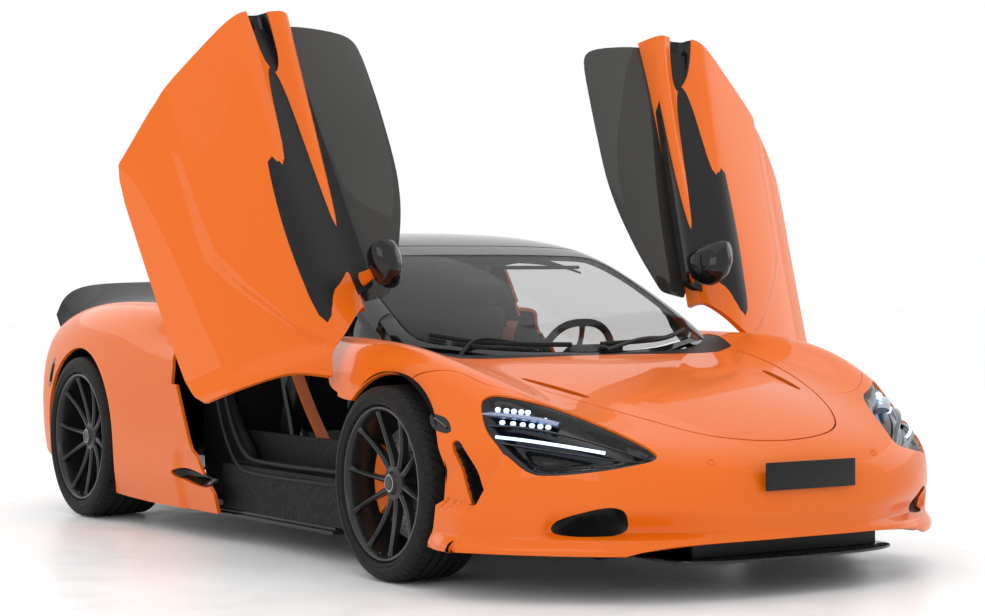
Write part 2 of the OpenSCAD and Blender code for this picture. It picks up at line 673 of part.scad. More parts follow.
module rear_suspension() {
    color([0.25, 0.25, 0.27]) {
        arms(WB, 456, RX - 138, RZ);
        pair() {
            translate([RX - 105, YR, RZ - 100]) cylinder(r = 34, h = 200);
            translate([RX - 105, YR, RZ]) rotate([0, 90, 0]) cylinder(r = 44, h = 70);
            box(RX - 105, RX - 48, WB + 20, WB + 130, RZ - 30, RZ + 30);
        }
    }
    color([0.92, 0.36, 0.05]) pair() caliper(RX, RZ, YR, RX - 52, RX + 24, 105, 212);
}

// ---- wheels -----------------------------------------------------------
// cx: middle of the tyre; w: tyre width; r: rim lip radius
module rim(cx, cy, cz, w, r) {
    h = w / 2 - 12;
    color([0.05, 0.05, 0.05]) translate([cx, cy, cz]) rotate([0, 90, 0]) {
        rotate_extrude($fn = 96) polygon([[r - 28, -h], [r, -h], [r, -h + 12],
            [r - 14, -h + 22], [r - 14, h - 22], [r, h - 12], [r, h], [r - 28, h]]);
        translate([0, 0, h - 74]) cylinder(r = 60, h = 44);
        for (k = [0 : spokes - 1]) rotate([0, 0, 360 * k / spokes]) {
            translate([50, -11, h - 58]) cube([r - 68, 22, 24]);
            translate([0.5 * r, -22, h - 50]) cube([0.5 * r - 18, 9, 18]);
            translate([0.5 * r, 13, h - 50]) cube([0.5 * r - 18, 9, 18]);
            translate([0.5 * r, -22, h - 50]) cube([9, 44, 18]);
        }
        translate([0, 0, -20]) cylinder(r = 188, h = 22);
        translate([0, 0, -26]) cylinder(r = 70, h = h - 40);
    }
}
module tyre(cx, cy, cz, w, d, r) {
    R = d / 2;
    h = w / 2;
    q = r + 3;
    color([0.04, 0.04, 0.04]) translate([cx, cy, cz]) rotate([0, 90, 0])
        rotate_extrude($fn = 96) polygon([[q, -h + 14], [q + 12, -h + 2], [R - 36, -h],
            [R - 14, -h + 8], [R - 3, -h + 26], [R, -h + 50], [R, h - 50], [R - 3, h - 26],
            [R - 14, h - 8], [R - 36, h], [q + 12, h - 2], [q, h - 14]]);
}
module front_left_rim() { rim(FX, YF, FZ, front_tyre_w, 258); }
module front_right_rim() { mirror([1, 0, 0]) rim(FX, YF, FZ, front_tyre_w, 258); }
module rear_left_rim() { rim(RX, YR, RZ, rear_tyre_w, 271); }
module rear_right_rim() { mirror([1, 0, 0]) rim(RX, YR, RZ, rear_tyre_w, 271); }
module front_left_tyre() { tyre(FX, YF, FZ, front_tyre_w, front_tyre_d, 258); }
module front_right_tyre() { mirror([1, 0, 0]) tyre(FX, YF, FZ, front_tyre_w, front_tyre_d, 258); }
module rear_left_tyre() { tyre(RX, YR, RZ, rear_tyre_w, rear_tyre_d, 271); }
module rear_right_tyre() { mirror([1, 0, 0]) tyre(RX, YR, RZ, rear_tyre_w, rear_tyre_d, 271); }

chassis_tub();
undertray();
front_bumper();
front_splitter();
left_front_fender();
right_front_fender();
cowl();
windscreen();
windscreen_frame();
roof_panel();
left_rear_fender();
right_rear_fender();
rear_deck();
rear_window();
rear_bumper();
rear_diffuser();
exhaust_pipes();
headlights();
tail_lights();
side_skirts();
seats();
dashboard();
engine();
front_suspension();
rear_suspension();
luggage_tub();
number_plate();
bonnet();
left_door();
left_door_glass();
left_door_mirror();
right_door();
right_door_glass();
right_door_mirror();
left_knuckle();
right_knuckle();
front_left_rim();
front_left_tyre();
front_right_rim();
front_right_tyre();
rear_left_rim();
rear_left_tyre();
rear_right_rim();
rear_right_tyre();
rear_wing();
steering_wheel();
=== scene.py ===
"""Looks of a mid-engined two-seat supercar with its doors open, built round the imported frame.

Shapes are worked out in millimetres in the frame's own axes: +Z up, the front faces -Y and the
driver's left is +X. s is the distance behind the front axle. Meshes are made in metres.
"""
import math

import bmesh
import bpy
import numpy as np
from mathutils import Matrix, Vector


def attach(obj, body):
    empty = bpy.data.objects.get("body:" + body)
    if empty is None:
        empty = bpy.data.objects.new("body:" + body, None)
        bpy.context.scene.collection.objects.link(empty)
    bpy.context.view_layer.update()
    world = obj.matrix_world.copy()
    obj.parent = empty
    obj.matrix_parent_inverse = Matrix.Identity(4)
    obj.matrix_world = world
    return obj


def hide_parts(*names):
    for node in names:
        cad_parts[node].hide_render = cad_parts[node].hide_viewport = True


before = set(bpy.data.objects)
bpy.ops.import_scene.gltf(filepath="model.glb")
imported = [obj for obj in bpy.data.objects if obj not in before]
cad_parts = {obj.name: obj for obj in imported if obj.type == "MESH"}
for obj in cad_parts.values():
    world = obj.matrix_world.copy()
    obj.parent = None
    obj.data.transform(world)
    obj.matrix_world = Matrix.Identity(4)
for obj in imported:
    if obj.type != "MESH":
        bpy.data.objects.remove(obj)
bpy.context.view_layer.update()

MM = 0.001
YF = -1209.5
WHEELBASE = 2670
YR = YF + WHEELBASE
DOOR_OPEN = math.radians(86)
HINGE = np.array([960, YF + 272, 600])
HINGE_AXIS = np.array([1.326, -1.225, -1.0])
CELL = 15.0
GAP = 2.2
EDGE = 1.8

# Control rows of the body skin: [distance behind the front axle, bow, [[x, z], ...]].
BODY_ROWS = [
    [-1040, 560, [
        [0, 150], [150, 150], [300, 150], [430, 150], [540, 150], [640, 150], [720, 150], [790, 150],
        [835, 150], [870, 150], [900, 150], [920, 150], [932, 150], [940, 150], [945, 150]
    ]],
    [-1055, 560, [
        [0, 220], [150, 220], [300, 220], [430, 220], [540, 220], [640, 220], [720, 220], [790, 220],
        [835, 220], [872, 218], [902, 215], [925, 205], [937, 190], [944, 170], [948, 150]
    ]],
    [-1060, 550, [
        [0, 310], [150, 310], [300, 310], [430, 310], [540, 312], [640, 314], [720, 316], [790, 316],
        [835, 312], [875, 300], [908, 280], [930, 250], [942, 220], [948, 185], [950, 150]
    ]],
    [-1045, 540, [
        [0, 400], [150, 400], [300, 400], [430, 402], [540, 406], [640, 410], [720, 412], [790, 405],
        [838, 390], [880, 365], [914, 330], [936, 285], [947, 240], [951, 195], [950, 150]
    ]],
    [-985, 500, [
        [0, 462], [150, 460], [300, 458], [430, 458], [540, 465], [640, 478], [725, 485], [795, 475],
        [842, 450], [884, 415], [918, 370], [940, 315], [950, 260], [953, 205], [950, 150]
    ]],
    [-870, 430, [
        [0, 520], [160, 518], [310, 512], [440, 508], [550, 518], [650, 540], [735, 552], [802, 540],
        [848, 510], [888, 465], [922, 410], [943, 345], [952, 280], [954, 215], [950, 150]
    ]],
    [-700, 330, [
        [0, 585], [180, 582], [330, 572], [460, 562], [575, 574], [670, 605], [750, 622], [814, 610],
        [858, 575], [896, 520], [928, 450], [946, 375], [954, 300], [955, 225], [950, 150]
    ]],
    [-500, 220, [
        [0, 642], [200, 638], [360, 626], [495, 612], [610, 625], [700, 662], [775, 686], [832, 672],
        [872, 632], [906, 570], [932, 490], [948, 405], [955, 320], [955, 235], [948, 150]
    ]],
    [-270, 110, [
        [0, 682], [220, 678], [400, 666], [540, 655], [650, 678], [735, 722], [805, 742], [856, 726],
        [890, 684], [916, 618], [936, 530], [950, 435], [956, 340], [955, 245], [945, 150]
    ]],
    [0, 30, [
        [0, 722], [240, 718], [430, 708], [570, 704], [675, 735], [757, 776], [822, 786], [868, 766],
        [898, 722], [920, 652], [938, 560], [951, 460], [956, 355], [953, 250], [940, 150]
    ]],
    [260, 0, [
        [0, 752], [260, 750], [460, 748], [600, 752], [700, 784], [775, 800], [832, 796], [872, 770],
        [898, 724], [916, 656], [932, 566], [945, 465], [950, 355], [946, 245], [930, 140]
    ]],
    [520, 0, [
        [0, 770], [280, 770], [480, 770], [625, 776], [715, 800], [775, 806], [818, 786], [850, 750],
        [874, 702], [896, 636], [916, 556], [932, 460], [940, 350], [936, 235], [915, 120]
    ]],
    [850, 0, [
        [0, 780], [300, 780], [500, 784], [650, 800], [735, 818], [785, 806], [800, 768], [828, 722],
        [862, 690], [888, 630], [908, 550], [924, 455], [932, 345], [930, 225], [905, 110]
    ]],
    [1250, 0, [
        [0, 800], [300, 800], [510, 810], [670, 834], [760, 846], [800, 822], [790, 770], [820, 722],
        [878, 700], [896, 635], [910, 550], [922, 450], [932, 340], [932, 225], [905, 110]
    ]],
    [1650, 0, [
        [0, 845], [300, 850], [520, 862], [690, 874], [785, 876], [822, 852], [790, 790], [822, 740],
        [902, 722], [914, 650], [920, 560], [928, 460], [936, 350], [936, 230], [905, 110]
    ]],
    [2000, 0, [
        [0, 860], [300, 872], [520, 890], [690, 905], [795, 908], [850, 885], [880, 840], [905, 790],
        [922, 735], [934, 665], [940, 575], [944, 470], [948, 360], [944, 240], [910, 110]
    ]],
    [2350, 0, [
        [0, 880], [300, 888], [520, 902], [680, 920], [790, 930], [868, 905], [912, 850], [936, 790],
        [950, 725], [960, 650], [966, 560], [968, 460], [966, 355], [956, 240], [915, 120]
    ]],
    [2670, -20, [
        [0, 895], [300, 896], [510, 904], [665, 920], [775, 932], [860, 910], [910, 860], [938, 800],
        [954, 735], [964, 660], [970, 570], [970, 470], [966, 365], [956, 255], [925, 150]
    ]],
    [2950, -60, [
        [0, 895], [290, 893], [490, 896], [640, 904], [745, 912], [830, 896], [885, 852], [918, 798],
        [940, 738], [954, 668], [962, 585], [964, 490], [960, 390], [950, 285], [930, 190]
    ]],
    [3200, -150, [
        [0, 885], [280, 882], [470, 880], [615, 880], [720, 882], [800, 868], [855, 832], [892, 786],
        [918, 732], [936, 668], [946, 592], [950, 505], [948, 410], [940, 315], [925, 230]
    ]],
    [3380, -240, [
        [0, 865], [270, 862], [455, 858], [595, 856], [700, 852], [778, 838], [832, 806], [872, 764],
        [900, 714], [920, 656], [932, 588], [938, 508], [936, 420], [930, 335], [915, 260]
    ]],
    [3440, -290, [
        [0, 835], [260, 832], [445, 828], [585, 824], [690, 818], [768, 804], [822, 776], [862, 738],
        [892, 692], [912, 640], [924, 578], [930, 506], [928, 428], [922, 350], [908, 280]
    ]],
    [3440, -300, [
        [0, 730], [260, 730], [445, 728], [585, 724], [690, 718], [768, 706], [822, 684], [862, 654],
        [890, 620], [908, 580], [918, 532], [922, 478], [920, 420], [914, 360], [904, 300]
    ]],
    [3410, -300, [
        [0, 560], [260, 560], [445, 560], [585, 558], [690, 554], [768, 548], [820, 536], [858, 520],
        [884, 500], [900, 476], [908, 446], [911, 412], [910, 376], [906, 340], [898, 305]
    ]],
    [3380, -300, [
        [0, 420], [260, 420], [445, 420], [585, 420], [690, 418], [765, 414], [815, 408], [850, 400],
        [872, 390], [886, 378], [893, 364], [896, 350], [896, 336], [893, 322], [888, 310]
    ]],
]
# Control rows of the canopy: windscreen, side glass, roof and rear deck.
CANOPY_ROWS = [
    [90, 240, [
        [0, 700], [240, 700], [450, 705], [600, 715], [685, 725], [722, 720], [745, 700]
    ]],
    [170, 240, [
        [0, 757], [240, 765], [450, 785], [600, 803], [688, 812], [722, 775], [744, 715]
    ]],
    [400, 230, [
        [0, 882], [240, 888], [450, 900], [600, 918], [668, 926], [716, 850], [744, 735]
    ]],
    [650, 200, [
        [0, 995], [235, 1000], [440, 1012], [580, 1028], [634, 1030], [702, 900], [744, 755]
    ]],
    [850, 170, [
        [0, 1078], [230, 1082], [430, 1090], [560, 1098], [608, 1096], [688, 945], [742, 775]
    ]],
    [1050, 110, [
        [0, 1147], [225, 1149], [425, 1148], [548, 1142], [594, 1122], [680, 965], [742, 792]
    ]],
    [1250, 40, [
        [0, 1190], [225, 1189], [422, 1180], [542, 1160], [590, 1130], [680, 975], [745, 805]
    ]],
    [1450, 0, [
        [0, 1202], [225, 1200], [420, 1190], [540, 1165], [590, 1130], [682, 980], [750, 815]
    ]],
    [1700, 0, [
        [0, 1196], [225, 1194], [416, 1184], [535, 1158], [585, 1122], [680, 980], [752, 830]
    ]],
    [1950, 0, [
        [0, 1172], [220, 1170], [408, 1158], [522, 1132], [572, 1096], [665, 975], [740, 848]
    ]],
    [2250, 0, [
        [0, 1115], [215, 1113], [395, 1102], [500, 1078], [545, 1048], [630, 960], [700, 870]
    ]],
    [2600, 0, [
        [0, 1030], [205, 1028], [370, 1018], [465, 1000], [505, 980], [580, 930], [640, 880]
    ]],
    [2950, 0, [
        [0, 945], [190, 943], [335, 936], [418, 926], [450, 915], [520, 895], [570, 875]
    ]],
    [3150, 0, [
        [0, 880], [180, 880], [310, 876], [390, 872], [420, 868], [480, 862], [530, 855]
    ]],
]

# ---- outlines -------------------------------------------------------------
# (x, s) half outlines start past the centreline, so that nothing is cut there
BONNET = [(-300, -944), (0, -942), (120, -930), (230, -893), (310, -830), (400, -690), (490, -500),
          (565, -300), (605, -120), (620, 20), (622, 150), (300, 106), (0, 95), (-300, 95)]
COWL = [(-300, 90), (0, 90), (300, 101), (640, 150), (660, 200), (710, 330), (710, 430), (-300, 430)]
BUMPER = [(-300, -1400), (1100, -1400), (1100, -60), (905, -95), (868, -190), (815, -290),
          (790, -420), (640, -560), (500, -520), (-300, -520)]
SEAM = [(-300, 150), (0, 153), (235, 168), (440, 228), (589, 301), (641, 340), (677, 380), (702, 421),
        (717, 496), (727, 858), (732, 1299), (729, 1650), (706, 1958), (652, 2324), (569, 2738),
        (517, 2925), (470, 3030), (380, 3085), (0, 3100), (-300, 3100)]
WINDSCREEN = [(-300, 150), (0, 150), (300, 192), (560, 312), (622, 380), (612, 560), (590, 740),
              (562, 900), (520, 950), (300, 930), (0, 920), (-300, 920)]
SCREEN_FRAME = [(-300, 120), (0, 120), (300, 160), (620, 330), (700, 380), (760, 560), (760, 1094),
                (620, 1074), (560, 1060), (300, 1040), (0, 1030), (-300, 1030)]
ROOF = [(-300, 1036), (0, 1036), (300, 1046), (560, 1066), (620, 1080), (700, 1100), (700, 1640),
        (-300, 1640)]
GLASS_PLAN = [(1100, 300), (690, 300), (664, 600), (630, 812), (602, 980), (588, 1130), (580, 1400),
              (574, 1700), (560, 1800), (1100, 1800)]
REAR_WINDOW = [(-300, 1680), (352, 1680), (325, 2300), (-300, 2300)]
DECK_VENT = [(380, 2000), (455, 2010), (420, 2700), (352, 2700)]
BONNET_VENT = [(424, -490), (462, -470), (530, -200), (498, -180)]
# (s, z) outlines of the side
DOOR = [(360, 612), (385, 560), (408, 500), (418, 440), (414, 280), (402, 100), (1325, 100),
        (1390, 175), (1551, 343), (1670, 520), (1757, 659), (1785, 750), (1778, 840), (1752, 940),
        (650, 940), (622, 830), (600, 790), (560, 752), (505, 700), (470, 654), (450, 636), (410, 622)]
GLASS = [(640, 770), (650, 906), (676, 926), (810, 1000), (975, 1066), (1130, 1100), (1400, 1118),
         (1640, 1120), (1700, 1090), (1746, 900), (1750, 770)]
CORNER_SLOT = [(-388, 484), (-430, 497), (-508, 404), (-562, 321), (-530, 292), (-505, 300)]
DOOR_DUCT = [(1540, 770), (1600, 742), (1700, 736), (1900, 732), (1900, 812), (1700, 806), (1590, 796)]
SILL_INTAKE = [(1385, 232), (1475, 198), (1790, 246), (1655, 278), (1500, 262)]
FENDER_CUT = [(200, 0), (700, 0), (700, 700), (500, 640), (345, 596), (200, 592)]
# (x, z) outlines of the nose and tail
HEADLIGHT = [(832, 612), (800, 632), (762, 630), (700, 612), (628, 590), (545, 530), (480, 462),
             (500, 442), (560, 430), (651, 412), (788, 393), (822, 408), (850, 465), (856, 531)]
LOWER_INTAKE = [(560, 212), (600, 290), (650, 302), (742, 264), (760, 226), (735, 206)]
NOSE_MOUTH = [(-300, 90), (0, 90), (640, 90), (640, 132), (580, 160), (480, 178), (300, 184), (0, 186),
              (-300, 186)]
TAIL_LIGHT = [(500, 735), (880, 700), (884, 640), (500, 690)]
TAIL_GRILLE = [(-300, 560), (0, 560), (470, 560), (500, 600), (480, 680), (330, 690), (330, 785),
               (-300, 785)]
TAIL_MOUTH = [(-300, 300), (0, 300), (620, 300), (560, 400), (0, 400), (-300, 400)]


# ---- surfaces ---------------------------------------------------------------
def smooth(t):
    """Rises evenly from 0 to 1 as t does, flat at both ends."""
    t = np.clip(t, 0, 1)
    return t * t * (3 - 2 * t)


def unit(v):
    """Vectors scaled to a length of 1."""
    return v / np.maximum(np.linalg.norm(v, axis=-1, keepdims=True), 1e-9)


def control_grid(rows, half_width, power):
    """The control points of a surface, bowed in plan by the given power of x."""
    return np.array([[[x, YF + s + bow * (x / half_width) ** power, z] for x, z in points]
                     for s, bow, points in rows], float)


def spline_weights(at, count):
    """Weights of a uniform cubic B-spline with one ghost point past each end."""
    span = np.minimum(np.floor(at).astype(int), count - 2)
    t = at - span
    basis = np.stack([(1 - t) ** 3, 3 * t ** 3 - 6 * t * t + 4, -3 * t ** 3 + 3 * t * t + 3 * t + 1,
                      t ** 3], 1) / 6
    weights = np.zeros((len(at), count + 2))
    for k in range(4):
        weights[np.arange(len(at)), span + k] += basis[:, k]
    return weights


def stations(lengths, cell):
    """Even parameters on each span, about one cell apart."""
    counts = np.maximum(1, np.round(lengths / cell)).astype(int)
    inner = [k + np.arange(c) / c for k, c in enumerate(counts)]
    return np.append(np.concatenate(inner), len(lengths))


def spline_sheet(control, cell, finer_rows=0):
    """Points of the whole width of a surface, as a grid; the first rows are sampled finer."""
    ghost = np.concatenate([2 * control[:1] - control[1:2], control, 2 * control[-1:] - control[-2:-1]])
    ghost = np.concatenate([ghost[:, 1:2] * [-1, 1, 1], ghost, 2 * ghost[:, -1:] - ghost[:, -2:-1]], 1)
    along = np.linalg.norm(np.diff(control, axis=0), axis=2).mean(1)
    along[:finer_rows] *= 1.8
    across = np.linalg.norm(np.diff(control, axis=1), axis=2).mean(0)
    wu = spline_weights(stations(along, cell), len(control))
    wv = spline_weights(stations(across, cell), control.shape[1])
    half = np.einsum("ia,ajk,bj->ibk", wu, ghost, wv)
    return np.concatenate([half[:, :0:-1] * [-1, 1, 1], half], 1)


def skin(points):
    """Vertices, smooth normals and triangles of a grid of points, outside to the front of a triangle."""
    rows, columns = points.shape[:2]
    ids = np.arange(rows * columns).reshape(rows, columns)
    a, b, c, d = ids[:-1, :-1], ids[1:, :-1], ids[1:, 1:], ids[:-1, 1:]
    faces = np.concatenate([np.stack([a, d, c], -1), np.stack([a, c, b], -1)]).reshape(-1, 3)
    flat = points.reshape(-1, 3)
    return flat, corner_normals(flat, faces), faces


def corner_normals(verts, faces):
    """Normals at the vertices, weighted by the area of the triangles around them."""
    p, q, r = (verts[faces[:, k]] for k in range(3))
    area = np.cross(q - p, r - p)
    normals = np.zeros_like(verts)
    for k in range(3):
        np.add.at(normals, faces[:, k], area)
    return unit(normals)


def compact(verts, normals, faces):
    """The mesh without the vertices that no triangle uses."""
    used, flat = np.unique(faces, return_inverse=True)
    return verts[used], normals[used], flat.reshape(faces.shape)


def trim(mesh, *values):
    """Keeps what has each value above 0. A cut edge is found by a few steps of false position."""
    for value in values:
        verts, normals, faces = mesh
        f = value(verts)
        keep = f > 0
        inside = keep[faces]
        count = inside.sum(1)
        cut = (count == 1) | (count == 2)
        if not cut.any():
            mesh = compact(verts, normals, faces[count == 3])
            continue
        inside = inside[cut]
        odd = np.where(count[cut] == 1, inside.argmax(1), inside.argmin(1))
        rolled = faces[cut][np.arange(len(odd))[:, None], (odd[:, None] + np.arange(3)) % 3]
        edges = np.concatenate([rolled[:, [0, 1]], rolled[:, [0, 2]]])
        edges = np.sort(edges, 1)
        pairs, inverse = np.unique(edges, axis=0, return_inverse=True)
        inverse = inverse.reshape(-1)
        low, high = verts[pairs[:, 0]], verts[pairs[:, 1]]
        t0, t1 = np.zeros(len(pairs)), np.ones(len(pairs))
        f0, f1 = f[pairs[:, 0]], f[pairs[:, 1]]
        for _ in range(5):
            t = np.clip(t0 + (t1 - t0) * f0 / np.where(f0 == f1, 1, f0 - f1), t0 * 0.95 + t1 * 0.05,
                        t0 * 0.05 + t1 * 0.95)
            ft = value(low + (high - low) * t[:, None])
            same = (ft > 0) == (f0 > 0)
            t0, f0 = np.where(same, t, t0), np.where(same, ft, f0)
            t1, f1 = np.where(same, t1, t), np.where(same, f1, ft)
        t = (t0 + t1)[:, None] / 2
        fresh = low + (high - low) * t
        turned = unit(normals[pairs[:, 0]] * (1 - t) + normals[pairs[:, 1]] * t)
        p = len(verts) + inverse[:len(rolled)]
        q = len(verts) + inverse[len(rolled):]
        single = count[cut] == 1
        tip = np.stack([rolled[:, 0], p, q], 1)[single]
        rest = np.concatenate([np.stack([p, rolled[:, 1], rolled[:, 2]], 1)[~single],
                               np.stack([p, rolled[:, 2], q], 1)[~single]])
        faces = np.concatenate([faces[count == 3], tip, rest])
        mesh = compact(np.concatenate([verts, fresh]), np.concatenate([normals, turned]), faces)
    return mesh


# ---- values that a skin is trimmed by ----------------------------------------
def rounded(outline, share=0.22, passes=2):
    """The outline with its corners cut back twice, which rounds them."""
    p = np.array(outline, float)
    for _ in range(passes):
        q = np.roll(p, -1, 0)
        p = np.stack([p + (q - p) * share, q + (p - q) * share], 1).reshape(-1, 2)
    return p


def distance_inside(points, outline):
    """Distance to a closed outline, positive inside it."""
    a, b = outline, np.roll(outline, -1, 0)
    best = np.full(len(points), 1e18)
    inside = np.zeros(len(points), bool)
    x, y = points[:, 0], points[:, 1]
    for (ax, ay), (bx, by) in zip(a, b):
        dx, dy = bx - ax, by - ay
        along = np.clip(((x - ax) * dx + (y - ay) * dy) / max(dx * dx + dy * dy, 1e-9), 0, 1)
        best = np.minimum(best, (x - ax - along * dx) ** 2 + (y - ay - along * dy) ** 2)
        if ay != by:
            inside ^= ((ay > y) != (by > y)) & (x < ax + (y - ay) / (by - ay) * dx)
    return np.where(inside, 1, -1) * np.sqrt(best)


def plan(outline, share=0.22):
    shape = rounded(outline, share)
    return lambda v: distance_inside(np.stack([np.abs(v[:, 0]), v[:, 1] - YF], 1), shape)


def side(outline, share=0.22):
    shape = rounded(outline, share)
    return lambda v: distance_inside(np.stack([v[:, 1] - YF, v[:, 2]], 1), shape)


def front(outline, share=0.22):
    shape = rounded(outline, share)
    return lambda v: distance_inside(np.stack([np.abs(v[:, 0]), v[:, 2]], 1), shape)


def inside(value, gap=GAP + EDGE):
    return lambda v: value(v) - gap


def outside(value, gap=GAP + EDGE):
    return lambda v: -value(v) - gap


def either(*values):
    return lambda v: np.max([value(v) for value in values], 0)


def both(*values):
    return lambda v: np.min([value(v) for value in values], 0)


def behind(s):
    return lambda v: v[:, 1] - YF - s


def ahead(s):
    return lambda v: s - (v[:, 1] - YF)


def above(z):
    return lambda v: v[:, 2] - z


def below(z):
    return lambda v: z - v[:, 2]


def outboard(x):
    return lambda v: np.abs(v[:, 0]) - x


def inboard(x):
    return lambda v: x - np.abs(v[:, 0])


def arch(s, z, radius):
    return lambda v: np.hypot(v[:, 1] - YF - s, v[:, 2] - z) - radius


def left_half(v):
    return v[:, 0] + 1e-4


IN_GLASS = both(side(GLASS), plan(GLASS_PLAN))
IN_DOOR = side(DOOR)
OVER_SEAM = plan(SEAM)
FRONT_ARCH = arch(0, 327, 365 + EDGE)
REAR_ARCH = arch(WHEELBASE, 345.5, 382 + EDGE)


# ---- solid panels from skins ---------------------------------------------------
def boundary(faces):
    """Directed edges that only one triangle has."""
    edges = np.concatenate([faces[:, [0, 1]], faces[:, [1, 2]], faces[:, [2, 0]]])
    size = faces.max() + 1
    forward = edges[:, 0] * size + edges[:, 1]
    backward = edges[:, 1] * size + edges[:, 0]
    return edges[~np.isin(forward, backward)]


def panel(mesh, depth, radius=EDGE, paint_depth=None):
    """A skin made solid: its edges are rounded over and turned in, and a copy lies behind it.
    Returns vertices, normals, triangles and a material number a triangle: 0 outside, 1 inside."""
    verts, normals, faces = mesh
    edges = boundary(faces)
    rim = np.unique(edges)
    number = np.full(len(verts), -1)
    number[rim] = np.arange(len(rim))
    pull = np.zeros_like(verts)
    step = verts[edges[:, 1]] - verts[edges[:, 0]]
    np.add.at(pull, edges[:, 0], step)
    np.add.at(pull, edges[:, 1], step)
    out = unit(np.cross(pull[rim], normals[rim]))
    base, up = verts[rim], normals[rim]
    rings, ring_normals = [], []
    for degrees in (30, 60, 90):
        a = math.radians(degrees)
        rings.append(base + out * radius * math.sin(a) - up * radius * (1 - math.cos(a)))
        ring_normals.append(unit(up * math.cos(a) + out * math.sin(a)))
    painted = depth if paint_depth is None else paint_depth
    rings.append(base + out * radius - up * painted)
    ring_normals.append(out)
    materials = [0, 0, 0, 0]
    if painted < depth:
        rings.append(base + out * radius - up * depth)
        ring_normals.append(out)
        materials.append(1)
    back = verts - normals * depth
    back[rim] = base + out * radius - up * depth
    all_verts = np.concatenate([verts, *rings, back])
    all_normals = np.concatenate([normals, *ring_normals, -normals])
    all_faces, all_index = [faces], [np.zeros(len(faces), int)]
    start = rim[number[edges]]
    previous = start
    for k, material in enumerate(materials):
        here = len(verts) + k * len(rim) + number[edges]
        quads = np.concatenate([np.stack([previous[:, 1], previous[:, 0], here[:, 0]], 1),
                                np.stack([previous[:, 1], here[:, 0], here[:, 1]], 1)])
        all_faces.append(quads)
        all_index.append(np.full(len(quads), material))
        previous = here
    last = len(verts) + len(rings) * len(rim)
    all_faces.append(last + faces[:, ::-1])
    all_index.append(np.ones(len(faces), int))
    return all_verts, all_normals, np.concatenate(all_faces), np.concatenate(all_index)


def mirrored(mesh):
    verts, normals, faces, *rest = mesh
    return (verts * [-1, 1, 1], normals * [-1, 1, 1], faces[:, ::-1], *rest)


def turn_door(mesh):
    """Swings a left door's piece from shut to open about its hinge."""
    verts, normals, faces, *rest = mesh
    spin = np.array(Matrix.Rotation(DOOR_OPEN, 3, Vector(HINGE_AXIS)))
    return ((verts - HINGE) @ spin.T + HINGE, normals @ spin.T, faces, *rest)


def joined(*meshes):
    verts, normals, faces, index = [], [], [], []
    offset = 0
    for mesh in meshes:
        verts.append(mesh[0])
        normals.append(mesh[1])
        faces.append(mesh[2] + offset)
        index.append(mesh[3])
        offset += len(mesh[0])
    return tuple(np.concatenate(part) for part in (verts, normals, faces, index))


def link(name, data, materials, body, replaced):
    for material in materials:
        data.materials.append(material)
    obj = bpy.data.objects.new(name, data)
    bpy.context.scene.collection.objects.link(obj)
    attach(obj, body)
    if replaced:
        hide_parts(*replaced)
    return obj


def show(name, mesh, materials, body="body", replaced=()):
    """Makes an object of a panel, with its own normals."""
    verts, normals, faces, index = mesh
    data = bpy.data.meshes.new(name)
    data.vertices.add(len(verts))
    data.vertices.foreach_set("co", (verts * MM).astype(np.float32).ravel())
    data.loops.add(faces.size)
    data.loops.foreach_set("vertex_index", faces.astype(np.int32).ravel())
    data.polygons.add(len(faces))
    data.polygons.foreach_set("loop_start", np.arange(0, faces.size, 3, dtype=np.int32))
    data.polygons.foreach_set("material_index", index.astype(np.int32))
    data.polygons.foreach_set("use_smooth", np.ones(len(faces), bool))
    data.update(calc_edges=True)
    data.normals_split_custom_set_from_vertices(normals.astype(np.float32).tolist())
    return link(name, data, materials, body, replaced)


# ---- shaped pieces ---------------------------------------------------------------
class Pieces:
    """Collects shapes in millimetres, and makes one object of them."""

    def __init__(self):
        self.verts = []
        self.faces = []
        self.index = []

    def add(self, verts, faces, material=0):
        offset = len(self.verts)
        self.verts.extend(np.asarray(verts, float).tolist())
        self.faces.extend([tuple(int(k) + offset for k in face) for face in faces])
        self.index.extend([material] * len(faces))

    def mirror(self):
        """Adds the mirror image of everything so far."""
        offset = len(self.verts)
        self.verts.extend([[-x, y, z] for x, y, z in self.verts])
        self.faces.extend([tuple(k + offset for k in reversed(face)) for face in self.faces])
        self.index.extend(list(self.index))

    def flipped(self):
        """Another collection, mirrored to the right side."""
        other = Pieces()
        other.verts = [[-x, y, z] for x, y, z in self.verts]
        other.faces = [tuple(reversed(face)) for face in self.faces]
        other.index = list(self.index)
        return other

    def swing(self):
        """Turns everything with the left door."""
        spin = np.array(Matrix.Rotation(DOOR_OPEN, 3, Vector(HINGE_AXIS)))
        self.verts = ((np.array(self.verts) - HINGE) @ spin.T + HINGE).tolist()
        return self

    def show(self, name, materials, body="body", slot=None, replaced=(), sharp=38):
        data = bpy.data.meshes.new(name)
        data.from_pydata((np.array(self.verts) * MM).tolist(), [], self.faces)
        data.polygons.foreach_set("material_index", self.index)
        data.polygons.foreach_set("use_smooth", [True] * len(self.faces))
        data.update()
        data.set_sharp_from_angle(angle=math.radians(sharp))
        return link(name, data, materials, body, replaced)


def ring_faces(rows, columns, closed_rows=False, closed_columns=True):
    """Quads between rows of points, with row-major numbers."""
    faces = []
    for i in range(rows if closed_rows else rows - 1):
        for j in range(columns if closed_columns else columns - 1):
            a, b = i * columns + j, i * columns + (j + 1) % columns
            c, d = ((i + 1) % rows) * columns + (j + 1) % columns, ((i + 1) % rows) * columns + j
            faces.append((a, b, c, d))
    return faces


